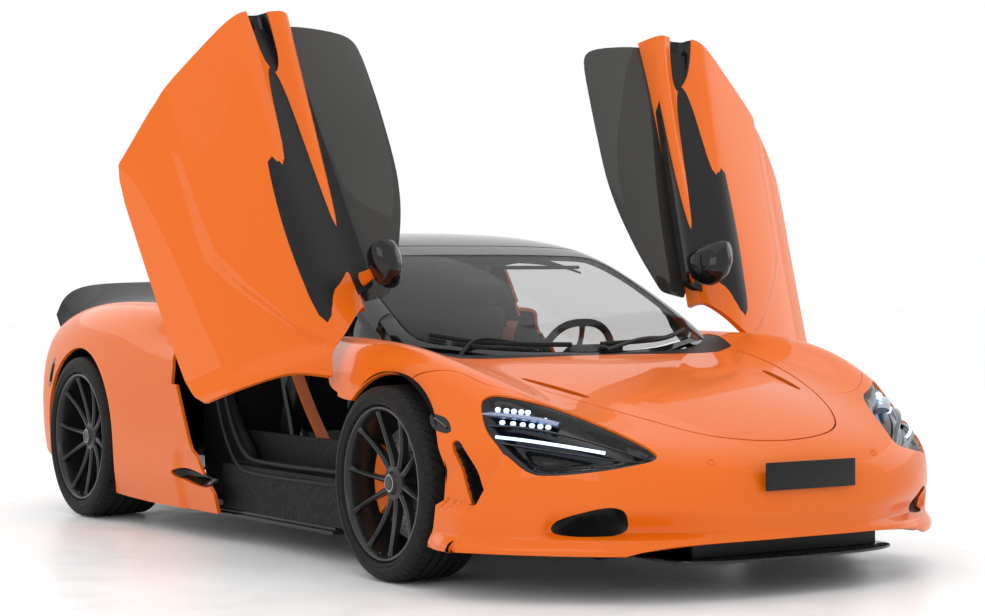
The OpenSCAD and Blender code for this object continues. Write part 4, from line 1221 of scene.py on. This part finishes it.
def build_wheel(side_name, end, cx, cy, cz, width, tyre_r, lip):
    left = side_name == "left"
    body = f"{end}_{side_name}_wheel"
    name = f"{end}_{side_name}"
    centre = (cx, cy, cz)
    h = width / 2 - 12
    profile, tread = tyre_profile(width, tyre_r, lip)
    low, high = min(tread), max(tread)

    def lift(angles, k):
        if not low <= k <= high:
            return 0
        x = profile[k][1]
        phase = (angles * 64 / (2 * math.pi) + abs(x) / 60) % 1
        outer = abs(x) > width * 0.18
        return np.where((phase < 0.2) & outer, -4.5, 0.0)

    tyre = Pieces()
    tyre.add(*lathe(profile, centre, 320, lift))
    rim = Pieces()
    barrel = [(lip - 24, -h), (lip - 4, -h - 1), (lip, -h), (lip, -h + 9), (lip - 8, -h + 18),
              (lip - 14, -h + 44), (lip - 15, h - 66), (lip - 10, h - 28), (lip - 2, h - 15),
              (lip, h - 8), (lip + 1, h - 1), (lip - 3, h + 2), (lip - 9, h + 1), (lip - 14, h - 6),
              (lip - 19, h - 20), (lip - 23, h - 60), (lip - 24, 0)]
    rim.add(*lathe(barrel, centre, 144))
    ends = np.linspace(0, 1, 13)
    for k in range(10):
        angle = 2 * math.pi * (k + 0.25) / 10
        lean = 1 if k % 2 else -1
        sections = []
        for t in ends:
            reach = 44 + t * (lip - 17 - 44)
            face = h - 47 + 41 * t ** 1.7
            wide = 12.5 - 6.0 * t ** 0.7 + 7 * smooth((t - 0.86) / 0.14)
            deep = 38 - 16 * t
            shift = lean * (9 * math.sin(math.pi * t * 0.8) - 4 * t)
            outline = [(-wide, face - 8), (-wide * 0.3, face), (wide * 0.3, face), (wide, face - 8),
                       (wide * 0.7, face - deep), (-wide * 0.7, face - deep)]
            radial = np.array([0, math.cos(angle), math.sin(angle)])
            across = np.array([0, -math.sin(angle), math.cos(angle)])
            sections.append([np.array(centre) + radial * reach + across * (o + shift)
                             + np.array([f, 0, 0]) for o, f in outline])
        rim.add(*loft(sections))
    hub = [(0.5, h - 100), (62, h - 100), (62, h - 56), (57, h - 47), (40, h - 43), (36, h - 38),
           (34, h - 34), (29, h - 32), (0.5, h - 31)]
    rim.add(*lathe(hub, centre, 60))
    ring = [(26.5, h - 32), (28.5, h - 30.5), (26.5, h - 29.5), (24.5, h - 30.5)]
    rim.add(*lathe(ring, centre, 60), 1)
    for k in range(5):
        angle = 2 * math.pi * (k + 0.5) / 5
        spot = np.array(centre) + np.array([h - 47, 48 * math.cos(angle), 48 * math.sin(angle)])
        rim.add(*tube([spot - [12, 0, 0], spot - [2, 0, 0], spot], [8, 8, 5.5], 6), 1)
    rim.add(*tube([np.array(centre) + [h - 10, 0, -lip + 16], np.array(centre) + [h + 4, 0, -lip + 30]],
                  3, 8), 0)
    rotor = [(64, -20), (188, -20), (188, -12), (180, -11), (180, -7), (188, -6), (188, 2), (106, 2),
             (102, 8), (64, 8)]
    rim.add(*lathe(rotor, centre, 96), 2)
    # The disc's drilled holes are not cut: flat black octagons on its face are painted shade where the
    # holes would be.
    for row in range(4):
        for k in range(30):
            angle = 2 * math.pi * (k + 0.27 * row) / 30
            reach = 116 + 19 * row
            spot = np.array(centre) + np.array([2.3, reach * math.cos(angle), reach * math.sin(angle)])
            around = [spot + np.array([0, 3.6 * math.cos(b), 3.6 * math.sin(b)])
                      for b in np.arange(8) * math.pi / 4]
            rim.add(around, [tuple(range(8))], 3)
    if not left:
        tyre, rim = tyre.flipped(), rim.flipped()
    tyre.show(f"{name}_tread_tyre", [M["tyre_rubber"]], body, "tyre", [f"{name}_tyre"], sharp=30)
    rim.show(f"{name}_spoked_rim", [M["wheel_black"], M["brushed_metal"], M["brake_disc"],
                                    M["socket_black"]], body, "rim", [f"{name}_rim"], sharp=32)


def calliper(pieces, cx, cy, cz, outer, material):
    """A six-piston calliper behind the axle, over the disc."""
    for x0, x1 in ((cx - 50, cx - 25), (cx + 6, cx + 24)):
        sections = []
        for a in np.linspace(-0.62, 0.62, 15):
            inner, top = outer - 92 + 6 * abs(a), outer - 4 * abs(a)
            ring = [(x0, inner), (x0 + 4, inner - 3), (x1 - 4, inner - 3), (x1, inner), (x1, top - 6),
                    (x1 - 6, top), (x0 + 6, top), (x0, top - 6)]
            sections.append([(x, cy + r * math.cos(a), cz + r * math.sin(a)) for x, r in ring])
        pieces.add(*loft(sections), material)
    for a in (-0.5, -0.17, 0.17, 0.5):
        y, z = cy + (outer - 4) * math.cos(a), cz + (outer - 4) * math.sin(a)
        pieces.add(*rounded_box((cx - 44, y - 13, z - 13), (cx + 18, y + 6, z + 13), 4), material)


def build_knuckle(hand):
    """The front calliper with the hub behind it."""
    pieces = Pieces()
    cx, cz = 840, 327
    calliper(pieces, cx, YF, cz, 205, 1)
    upright = [(34, 0), (40, 30), (30, 60), (30, 140), (40, 170), (34, 200)]
    path = [(cx - 105, YF, cz - 100 + z) for _, z in upright]
    pieces.add(*tube(path, [r for r, _ in upright], 20))
    pieces.add(*tube([(cx - 105, YF, cz), (cx - 60, YF, cz), (cx - 34, YF, cz)], [44, 44, 40], 28))
    pieces.add(*rounded_box((cx - 105, YF + 20, cz - 28), (cx - 48, YF + 118, cz + 28), 8))
    if hand == "right":
        pieces = pieces.flipped()
    pieces.show(f"{hand}_knuckle_and_calliper", [M["cast_metal"], M["orange_calliper"]],
                f"{hand}_knuckle", "caliper", [f"{hand}_knuckle"])


def build_wheels():
    """Four wheels with callipers, and the liners of the wheel arches."""
    for hand in ("left", "right"):
        build_wheel(hand, "front", 840, YF, 327, 245, 327, 258)
        build_wheel(hand, "rear", 814.5, YR, 345.5, 305, 345.5, 271)
        build_knuckle(hand)
    rear = Pieces()
    calliper(rear, 814.5, YR, 345.5, 212, 0)
    rear.mirror()
    rear.show("rear_callipers", [M["orange_calliper"]], slot="caliper")
    liners = Pieces()
    front = ((530, 468, 366), (740, 452, 366), (918, 372, 372))
    back = ((520, 389, 389), (930, 389, 389))
    angles = np.radians(np.linspace(-2, 182, 60))
    for s, z, rows_at in ((0, 327, front), (WHEELBASE, 345.5, back)):
        rows = [[(x, YF + s + reach * math.cos(a), z + rise * math.sin(a)) for a in angles]
                for x, reach, rise in rows_at]
        verts = np.array(rows).reshape(-1, 3)
        faces = ring_faces(len(rows), 60, closed_columns=False)
        liners.add(verts, [tuple(reversed(f)) for f in faces])
        wall = [(rows_at[0][0], YF + s, z)] + rows[0]
        liners.add(wall, [(0, k, k + 1) for k in range(1, 60)])
    liners.mirror()
    liners.show("wheel_arch_liners", [M["liner_felt"]], slot="undertray")


build_hollows()
build_headlights()
build_markers()
build_tail_lights()
build_wheels()


# ---- mirrors, wing and lower trim ---------------------------------------------------------
def build_mirrors():
    """Each door mirror's shell, its glass and the painted arm."""
    shell, arm, glass = Pieces(), Pieces(), Pieces()
    sections = []
    for x, lead, lift, deep, tall in ((806, 4, -6, 22, 18), (816, 2, -3, 52, 38), (844, 0, 0, 84, 52),
                                      (884, -2, 2, 100, 59), (924, 0, 3, 98, 58), (958, 6, 3, 84, 50),
                                      (980, 14, 2, 56, 36), (989, 20, 1, 26, 18)):
        angles = np.arange(36) * 2 * math.pi / 36
        y = np.minimum(-deep * np.cos(angles), 42 - 0.1 * abs(x - 897))
        z = tall * np.sin(angles)
        sections.append([(x, YF + 715 + lead + a, 908 + lift + b) for a, b in zip(y, z)])
    shell.add(*loft(sections))
    face = [(897 + 68 * math.cos(a), 908 + 44 * math.sin(a)) for a in np.arange(40) * 2 * math.pi / 40]
    verts, faces = plate(face, YF + 755, YF + 759, 0.8, (0, 2, 1))
    glass.add(verts, faces)
    root = curve_through([(752, YF + 712, 800), (775, YF + 712, 832), (805, YF + 712, 862),
                          (850, YF + 714, 884)], 20)
    arm.add(*tube(root, np.linspace(32, 13, 20), 18, squash=0.42))
    for hand in ("left", "right"):
        for pieces, name, material, slot, replaced in (
                (shell, "mirror_housing", "gloss_black", "mirror_shell", [f"{hand}_door_mirror"]),
                (arm, "mirror_arm", "orange_paint", "door_paint", ()),
                (glass, "mirror_glass", "mirror_glass", "mirror_shell", ())):
            copy = Pieces()
            copy.add(pieces.verts, pieces.faces)
            copy.swing()
            if hand == "right":
                copy = copy.flipped()
            copy.show(f"{hand}_{name}", [M[material]], f"{hand}_door", slot, replaced, sharp=50)


def build_wing():
    """The one-piece wing with ends that curl down, on two short posts."""
    rows = [(0, 3225, 3494, 0), (300, 3235, 3492, -2), (520, 3262, 3486, -10), (640, 3300, 3478, -32),
            (710, 3335, 3468, -78), (752, 3352, 3456, -150)]
    table = curve_through(rows, 34)
    table = np.concatenate([table[:0:-1] * [-1, 1, 1, 1], table])
    sections = []
    chord = np.linspace(0, 1, 15)
    for x, lead, trail, drop in table:
        upper = [(x, YF + lead + t * (trail - lead), 918 + drop + 96 * t ** 1.4) for t in chord]
        lower = [(x * 0.988, YF + lead + t * (trail - lead), 918 + drop + 96 * t ** 1.4
                  - 5 - 13 * math.sin(math.pi * min(1, 0.1 + t))) for t in chord[::-1]]
        sections.append(upper + lower)
    wing = Pieces()
    wing.add(*loft(sections))
    for x in (-290, 290):
        wing.add(*rounded_box((x - 7, YF + 3250, 892), (x + 7, YF + 3335, 922), 3), 1)
    wing.show("carbon_wing", [M["carbon_weave"], M["satin_black"]], "rear_wing", "wing", ["rear_wing"])


def build_splitter():
    """The thin blade under the nose and the dark wall behind the mouth."""
    splitter = Pieces()
    half = [(0, -1056), (220, -1044), (340, -1018), (410, -980), (440, -930), (445, -640), (0, -640)]
    shape = rounded(two_sided(half), 0.2, 2)
    splitter.add(*plate(shape, 118, 128, 4))
    splitter.add(*rounded_box((-370, YF - 950, 128), (370, YF - 930, 216), 4), 1)
    splitter.show("splitter_blade", [M["carbon_weave"], M["satin_black"]], slot="splitter",
                  replaced=["front_splitter"])


def build_sill_blades():
    """A two-step blade along each sill."""
    skirts = Pieces()
    outline = [(700, YF + 560), (838, YF + 560), (842, YF + 1420), (852, YF + 1500), (862, YF + 2160),
               (850, YF + 2215), (700, YF + 2215)]
    skirts.add(*plate(outline, 98, 112, 3))
    skirts.add(*plate([(x - 12 * (x > 800), y) for x, y in outline], 110, 126, 4))
    skirts.mirror()
    skirts.show("sill_blades", [M["carbon_weave"]], slot="skirt", replaced=["side_skirts"])


def build_diffuser():
    """The ramp under the tail with six fins."""
    diffuser = Pieces()
    ramp = []
    for x in np.linspace(-570, 570, 25):
        edge = 8 * (abs(x) / 570) ** 4
        top = [(x, YF + s, z + edge) for s, z in ((3106, 146), (3240, 176), (3360, 222), (3462, 278))]
        low = [(x, YF + s, z + edge) for s, z in ((3462, 266), (3360, 211), (3240, 166), (3106, 134))]
        ramp.append(top + low)
    diffuser.add(*loft(ramp))
    for x in (-450, -270, -90, 90, 270, 450):
        fin = [(YF + 3150, 118), (YF + 3300, 138), (YF + 3474, 182), (YF + 3478, 250), (YF + 3468, 270),
               (YF + 3360, 214), (YF + 3150, 150)]
        diffuser.add(*plate(rounded(fin, 0.12, 1), x - 4, x + 4, 1.5, (1, 2, 0)))
    diffuser.show("diffuser_fins", [M["carbon_weave"]], slot="diffuser", replaced=["rear_diffuser"])


def build_exhaust_tips():
    """Two hollow pipes high in the tail."""
    pipes = Pieces()
    ring = [(46, 3122), (46, 3430), (45, 3440), (43, 3442), (41, 3438), (41, 3150), (6, 3146), (6, 3122)]
    verts, faces = lathe([(r, YF + s) for r, s in ring], (0, 0, 0), 64)
    swapped = np.array(verts)[:, [1, 0, 2]] + [130, 0, 728]
    pipes.add(swapped, [tuple(reversed(f)) for f in faces])
    pipes.mirror()
    pipes.show("exhaust_tips", [M["exhaust_steel"]], slot="exhaust", replaced=["exhaust_pipes"])


def build_number_plate():
    """A blank plate on its bracket."""
    plate_pieces = Pieces()
    plate_pieces.add(*rounded_box((-180, YF - 1072, 338), (180, YF - 1066, 426), 2.2))
    plate_pieces.add(*rounded_box((-172, YF - 1073, 345), (172, YF - 1068, 419), 1.4))
    plate_pieces.add(*rounded_box((-80, YF - 1066.5, 338), (80, YF - 1051, 346), 2))
    plate_pieces.show("blank_number_plate", [M["blank_plate"]], slot="plate", replaced=["number_plate"])


def build_door_apertures():
    """The panels and the rubber seals around each door opening."""
    strips = Pieces()
    outline = rounded([(YF + 1330, 165), (YF + 1352, 332), (YF + 1490, 440), (YF + 1600, 600),
                       (YF + 1668, 770), (YF + 1760, 846), (YF + 1800, 840), (YF + 1800, 160)], 0.15, 2)
    strips.add(*plate(outline, 735, 768, 6, (1, 2, 0)))
    hinge_post = rounded([(YF + 372, 612), (YF + 430, 640), (YF + 500, 690), (YF + 520, 560),
                          (YF + 480, 330), (YF + 500, 160), (YF + 395, 160), (YF + 404, 480)], 0.15, 2)
    strips.add(*plate(hinge_post, 730, 800, 8, (1, 2, 0)))
    strips.add(*rounded_box((690, YF + 430, 296), (802, YF + 1480, 312), 6))
    strips.add(*rounded_box((700, YF + 470, 306), (790, YF + 1400, 318), 5), 1)
    strips.mirror()
    strips.show("door_aperture_panels", [M["grained_plastic"], M["carbon_weave"]], slot="tub")
    rubber = Pieces()
    for dx, dz, radius in ((0, 0, 9), (30, -42, 7)):
        line = [(758 + dx, 470, 690), (768 + dx, 452, 560), (790 + dx, 452, 400), (800 + dx, 500, 326),
                (812 + dx, 700, 318), (812 + dx, 1150, 318), (806 + dx, 1330, 340), (790 + dx, 1480, 444),
                (776 + dx, 1590, 604), (764 + dx, 1656, 772)]
        path = curve_through([(x, YF + s, z + dz) for x, s, z in line], 110)
        rubber.add(*tube(path, radius, 10))
    rubber.mirror()
    rubber.show("door_aperture_seals", [M["seal_rubber"]], slot="tub")


def on_canopy(x, s, out):
    """The point of the canopy nearest to (x, s), moved out along the normal."""
    verts, normals, _ = CANOPY
    near = ((verts[:, 0] - x) ** 2 + (verts[:, 1] - YF - s) ** 2 + 1e6 * (normals[:, 2] < 0.1)).argmin()
    return verts[near] + normals[near] * out


def build_wipers():
    """Two wiper blades at the foot of the windscreen."""
    wipers = Pieces()
    for line in ([(70, 182), (250, 212), (420, 262), (560, 345)],
                 [(-560, 345), (-420, 262), (-260, 214), (-70, 182)]):
        blade = curve_through([on_canopy(x, s, 11) for x, s in line], 24)
        wipers.add(*tube(blade, 6, 8, squash=1.5))
        stem = curve_through([on_canopy(line[0][0], 158, 12), on_canopy(*line[1], 20),
                              on_canopy(*line[2], 14)], 16)
        wipers.add(*tube(stem, np.linspace(9, 5, 16), 8))
        wipers.add(*ball(on_canopy(line[0][0], 160, 8), np.array([15, 15, 12]), 8, 16))
    wipers.show("wipers", [M["satin_black"]], slot="cowl")


# ---- cabin -----------------------------------------------------------------------------------
def pillow(centre, half, tilt=0.0, channels=(), depth=7.0, power=0.42):
    """A crowned closed pad. Channels are seams at shares of its width, pressed into its +Z side."""
    rings, sides = 26, 44
    bend = lambda w: np.sign(w) * np.abs(w) ** power
    rows = []
    for a in np.linspace(0.06, math.pi - 0.06, rings):
        b = np.arange(sides) * 2 * math.pi / sides
        unit_y = np.full(sides, bend(math.cos(a)))
        round_ = abs(math.sin(a)) ** power
        unit_x, unit_z = round_ * bend(np.cos(b)), round_ * bend(np.sin(b))
        crown = 1 - 0.10 * unit_x ** 2 - 0.10 * unit_y ** 2
        z = unit_z * half[2] * crown
        for share in channels:
            z = z - depth * np.exp(-((unit_x - share) / 0.055) ** 2) * (unit_z > 0.2)
        z = z - 0.6 * depth * np.exp(-((np.abs(unit_z) - 0.05) / 0.16) ** 2)
        rows.append(np.stack([unit_x * half[0], unit_y * half[1], z], 1))
    verts, faces = loft(rows[::-1])
    c, s = math.cos(tilt), math.sin(tilt)
    spun = np.stack([verts[:, 0], c * verts[:, 1] - s * verts[:, 2], s * verts[:, 1] + c * verts[:, 2]], 1)
    return spun + np.array(centre), faces


def build_seat(hand, x):
    """A carbon shell with padded cushions, bolsters and a headrest."""
    back = math.radians(-90 + 19 - 180)
    shell = Pieces()
    rows = []
    for s, z, wide, wrap in ((915, 292, 205, 8), (960, 250, 222, 55), (1100, 228, 232, 80),
                             (1260, 220, 236, 100),
                             (1360, 250, 238, 130), (1410, 330, 240, 140), (1450, 460, 238, 120),
                             (1490, 600, 226, 80), (1520, 710, 196, 40), (1545, 800, 150, 14),
                             (1562, 880, 128, 6)):
        ring = []
        forward = smooth((s - 1330) / 120)
        for u in np.linspace(-1, 1, 17):
            lift = wrap * abs(u) ** 5
            ring.append((x + wide * u, YF + s - lift * forward, z + lift * (1 - forward)))
        for u in np.linspace(1, -1, 17):
            lift = wrap * abs(u) ** 5
            ring.append((x + (wide + 8) * u, YF + s - lift * forward + 14 * forward,
                         z + lift * (1 - forward) - 14 * (1 - forward)))
        rows.append(ring)
    smooth_rows = [curve_through([row[k] for row in rows], 40) for k in range(34)]
    shell.add(*loft(np.array(smooth_rows).transpose(1, 0, 2)))
    shell.show(f"{hand}_seat_shell", [M["carbon_weave"]], slot="seat",
               replaced=["seats"] if hand == "left" else ())
    base = math.radians(-4)
    side_base = math.radians(-3)
    seams = (-0.5, 0, 0.5)
    pads = [("seat_cushion", (x, YF + 1130, 268), (168, 205, 40), base, seams, "dark_suede"),
            ("seat_back", (x, YF + 1428, 520), (160, 225, 36), back, seams, "dark_suede"),
            ("headrest", (x, YF + 1520, 828), (112, 70, 26), back, (), "black_leather")]
    for place, step in (("inner", -1), ("outer", 1)):
        pads.append((f"{place}_bolster", (x + step * 190, YF + 1150, 318), (34, 190, 44), side_base, (),
                     "black_leather"))
    for place, step in (("inner", -1), ("outer", 1)):
        pads.append((f"{place}_wing", (x + step * 186, YF + 1400, 540), (34, 180, 46), back, (),
                     "black_leather"))
    for name, centre, half, tilt, channels, material in pads:
        piece = Pieces()
        piece.add(*pillow(centre, half, tilt, channels))
        obj = piece.show(f"{hand}_{name}", [M[material]], slot="seat", sharp=70)
    piping = Pieces()
    for u in (-0.84, 0.84):
        line = [(x + 168 * u, 960, 306), (x + 168 * u, 1130, 310), (x + 168 * u, 1300, 300)]
        piping.add(*tube(curve_through([(a, YF + s, z) for a, s, z in line], 20), 2.4, 6))
    piping.show(f"{hand}_seat_piping", [M["orange_webbing"]], slot="seat")


def build_dashboard():
    """The dashboard with binnacle, screen and vents, and the centre console."""
    dash = Pieces()
    base = [(440, 590), (452, 680), (500, 722), (580, 728), (650, 716), (694, 690), (700, 650), (684, 600),
            (640, 560), (520, 556)]
    sections = []
    for x in np.linspace(-650, 650, 45):
        crown = -26 * (abs(x) / 650) ** 2.5
        brow = 12 * math.exp(-((abs(x) - 370) / 150) ** 2)
        ring = curve_through(base, 40, closed=True)
        sections.append([(x, YF + s, z + (crown + brow) * smooth((z - 600) / 80)) for s, z in ring])
    dash.add(*loft(sections))
    dash.add(*rounded_box((270, YF + 610, 716), (470, YF + 700, 752), 14), 0)
    dash.add(*rounded_box((282, YF + 692, 700), (458, YF + 703, 746), 4), 1)
    dash.add(*rounded_box((-78, YF + 668, 560), (78, YF + 700, 716), 8), 1)
    for x in (-560, -250, 180, 560):
        dash.add(*rounded_box((x - 46, YF + 680, 652), (x + 46, YF + 702, 688), 7), 1)
    console = []
    for s, z, wide in ((600, 590, 100), (690, 590, 108), (760, 520, 108), (880, 400, 106), (1060, 380, 104),
                       (1240, 376, 102), (1330, 362, 96)):
        ring = [(-wide, z - 14), (-wide + 14, z), (wide - 14, z), (wide, z - 14), (wide + 4, 168),
                (-wide - 4, 168)]
        console.append([(x, YF + s, h) for x, h in ring])
    dash.add(*loft(console), 2)
    dash.add(*rounded_box((-44, YF + 900, 392), (44, YF + 1010, 402), 4), 1)
    for k in range(3):
        dash.add(*rounded_box((-30, YF + 1040 + 34 * k, 382), (30, YF + 1062 + 34 * k, 394), 4), 1)
    dash.show("dashboard_and_console", [M["dark_suede"], M["gloss_black"], M["black_leather"]], slot="dash",
              replaced=["dashboard"], sharp=50)


def build_steering_wheel():
    """A steering wheel with a flattened foot, three spokes, a pad and two paddles."""
    steer = Pieces()
    circle = []
    for a in np.arange(72) * 2 * math.pi / 72:
        flat = 1 - 0.06 * math.exp(-((a - 1.5 * math.pi) / 0.45) ** 2)
        circle.append((165 * flat * math.cos(a), 165 * flat * math.sin(a), 0))
    steer.add(*tube(circle, 15, 16, closed=True))
    for a, reach in ((0.15, 158), (math.pi - 0.15, 158), (1.5 * math.pi, 146)):
        line = [(48 * math.cos(a), 48 * math.sin(a), -4), (100 * math.cos(a), 100 * math.sin(a), -8),
                (reach * math.cos(a), reach * math.sin(a), 0)]
        steer.add(*tube(curve_through(line, 12), [17, 15, 13, 12, 12, 12, 12, 12, 12, 13, 14, 15], 12,
                        squash=0.5), 1)
    steer.add(*pillow((0, 0, 2), (64, 56, 24), 0, (), 2, 0.7), 0)
    steer.add(*tube([(0, 0, -80), (0, 0, -12)], 26, 24), 1)
    for x in (-1, 1):
        steer.add(*plate([(x * 62, 10), (x * 96, 18), (x * 100, 64), (x * 70, 52)], -34, -30, 1), 1)
    c, s = math.cos(math.radians(-70)), math.sin(math.radians(-70))
    flat = np.array(steer.verts)
    turned = np.stack([flat[:, 0], c * flat[:, 1] - s * flat[:, 2], s * flat[:, 1] + c * flat[:, 2]], 1)
    steer.verts = (turned + [370, YF + 800, 690]).tolist()
    steer.show("flat_bottomed_wheel", [M["dark_suede"], M["satin_black"]], "steering_wheel", "steering",
               ["steering_wheel"], sharp=50)


def build_belts():
    """The belts that show: one in the door opening and one over the driver's seat."""
    belts = Pieces()
    for line in ([(-655, 1190, 655), (-652, 1120, 560), (-646, 1050, 470), (-640, 975, 388)],
                 [(560, 1560, 830), (500, 1500, 780), (430, 1440, 640), (300, 1380, 420)]):
        path = curve_through([(x, YF + s, z) for x, s, z in line], 24)
        belts.add(*tube(path, 27, 10, squash=0.09))
    belts.add(*ball((-655, YF + 1196, 660), np.array([16, 20, 20]), 8, 16), 1)
    belts.show("seat_belts", [M["orange_webbing"], M["brushed_metal"]], slot="seat", sharp=60)


def build_cabin_mirror():
    """The inner mirror on its stem."""
    centre = Pieces()
    centre.add(*rounded_box((-95, YF + 868, 978), (95, YF + 880, 1024), 9))
    centre.add(*tube([(0, YF + 866, 1008), (0, YF + 846, 1058)], 8, 12))
    centre.show("cabin_mirror", [M["gloss_black"]], slot="dash")


def build_roof_lining():
    """The lining under the roof with two sun visors."""
    lining = []
    for s, z in ((1010, 1072), (1120, 1098), (1300, 1118), (1480, 1122), (1600, 1112)):
        edge = [(u, z - 46 * abs(u) ** 4) for u in np.linspace(-1, 1, 15)]
        lining.append([(540 * u, YF + s, h) for u, h in edge]
                      + [(540 * u, YF + s, h + 8) for u, h in edge[::-1]])
    lining_piece = Pieces()
    lining_piece.add(*loft(lining))
    for x in (-330, 330):
        lining_piece.add(*rounded_box((x - 190, YF + 985, 1046), (x + 190, YF + 1120, 1060), 6))
    lining_piece.show("roof_lining", [M["dark_suede"]], slot="roof")


def build_bulkhead():
    """The wall behind the seats and the shelf over the engine."""
    bulkhead = Pieces()
    bulkhead.add(*rounded_box((-695, YF + 1612, 160), (695, YF + 1650, 850), 12))
    bulkhead.add(*rounded_box((-560, YF + 1640, 700), (560, YF + 2560, 712), 4), 0)
    bulkhead.show("cabin_bulkhead", [M["dark_suede"]], slot="tub")


def build_door_trims():
    """Each door's inner trim with an armrest and a soft insert."""
    s, z = np.meshgrid(np.arange(420, 1780, 20.0), np.arange(100, 860, 16.0), indexing="ij")
    x = 868 - 130 * smooth((z - 620) / 230)
    x = x - 34 * smooth((z - 500) / 40) * (1 - smooth((z - 570) / 40)) * smooth((s - 640) / 80) * (
        1 - smooth((s - 1250) / 120))
    x = x + 12 * smooth((z - 180) / 30) * (1 - smooth((z - 330) / 40)) * smooth((s - 560) / 60) * (
        1 - smooth((s - 1180) / 60))
    verts, normals, faces = skin(np.stack([x, YF + s, z], -1))
    if normals[:, 0].mean() > 0:
        normals, faces = -normals, faces[:, ::-1]
    low = side([(560, 160), (1290, 160), (1400, 330), (1330, 470), (1100, 520), (560, 500), (500, 300)])
    trim_skin = trim((verts, normals, faces), inside(IN_DOOR, 58), outside(low, 0))
    pocket = trim((verts, normals, faces), inside(IN_DOOR, 58), inside(low, 3))
    solid = panel(trim_skin, 28, 5)
    insert = panel(pressed(pocket, 4), 22, 3)
    for hand, turned in (("left", lambda m: m), ("right", mirrored)):
        show(f"{hand}_door_trim", turned(turn_door(solid)), [M["black_leather"], M["satin_black"]],
             f"{hand}_door")
        show(f"{hand}_door_insert", turned(turn_door(insert)), [M["dark_suede"], M["satin_black"]],
             f"{hand}_door")


def finish_cad_nodes():
    """Gives the CAD nodes that stay their materials."""
    plain = {"chassis_tub": "grained_plastic", "undertray": "grained_plastic", "engine": "cast_metal",
             "front_suspension": "cast_metal", "rear_suspension": "cast_metal", "luggage_tub": "liner_felt"}
    for node, finish in plain.items():
        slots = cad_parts[node].data.materials
        if not slots:
            slots.append(M[finish])
        for k in range(len(slots)):
            slots[k] = M[finish]


build_mirrors()
build_wing()
build_splitter()
build_sill_blades()
build_diffuser()
build_exhaust_tips()
build_number_plate()
build_door_apertures()
build_wipers()
build_seat("left", 370)
build_seat("right", -370)
build_dashboard()
build_steering_wheel()
build_belts()
build_cabin_mirror()
build_roof_lining()
build_bulkhead()
build_door_trims()
finish_cad_nodes()


# ---- camera, light and floor -----------------------------------------------------------
def build_stage():
    """A plain pale floor, a white studio and four large soft lights."""
    floor = bpy.data.meshes.new("floor")
    reach = 60
    floor.from_pydata([(-reach, -reach, 0), (reach, -reach, 0), (reach, reach, 0), (-reach, reach, 0)], [],
                      [(0, 1, 2, 3)])
    ground = bpy.data.objects.new("floor", floor)
    bpy.context.scene.collection.objects.link(ground)
    ground.location = (0, 0, -0.0005)
    paint = Finish("floor_paint", (0.985, 0.985, 0.985), 0.35, specular=0.4)
    paint.tint(paint.noise(2), (0.975, 0.975, 0.975)).gloss(paint.noise(6), 0.05)
    floor.materials.append(paint.material)
    world = bpy.data.worlds.new("studio")
    bpy.context.scene.world = world
    world.use_nodes = True
    world.node_tree.nodes["Background"].inputs["Color"].default_value = (1, 1, 1, 1)
    world.node_tree.nodes["Background"].inputs["Strength"].default_value = 1.0
    boxes = [("over", (0, 0, 5.2), (0, 0, 0), (7, 9), 90),
             ("right_front", (-6.5, -5.0, 3.4), (0, 0, 0.7), (4.5, 3), 70),
             ("left_side", (7.0, -1.5, 3.2), (0, 0, 0.7), (6, 3), 60),
             ("rear", (-2, 8.0, 4.0), (0, 0, 0.8), (7, 3), 60)]
    for name, at, to, size, power in boxes:
        data = bpy.data.lights.new(name, "AREA")
        data.shape = "RECTANGLE"
        data.size, data.size_y = size
        data.energy = power
        lamp = bpy.data.objects.new(name, data)
        lamp.location = at
        lamp.rotation_euler = (Vector(to) - Vector(at)).to_track_quat("-Z", "Y").to_euler()
        bpy.context.scene.collection.objects.link(lamp)
    scene = bpy.context.scene
    scene.view_settings.view_transform = "Standard"


def build_camera():
    """A long lens from the car's right front corner, just above the height of its bonnet."""
    yaw, pitch, roll = 0.5557, -0.0096, -0.0076
    ahead_by = np.array([math.sin(yaw) * math.cos(pitch), math.cos(yaw) * math.cos(pitch), math.sin(pitch)])
    right = unit(np.cross(ahead_by, [0, 0, 1.0]))
    up = np.cross(right, ahead_by)
    c, s = math.cos(roll), math.sin(roll)
    right, up = c * right + s * up, c * up - s * right
    data = bpy.data.cameras.new("camera")
    data.lens = 82.98
    data.sensor_width = 36
    data.clip_start, data.clip_end = 0.1, 200
    camera = bpy.data.objects.new("camera", data)
    bpy.context.scene.collection.objects.link(camera)
    camera.matrix_world = Matrix(np.column_stack([right, up, -ahead_by]).tolist()).to_4x4()
    camera.location = (-4.6024, -7.802, 0.9797)
    bpy.context.scene.camera = camera


build_stage()
build_camera()
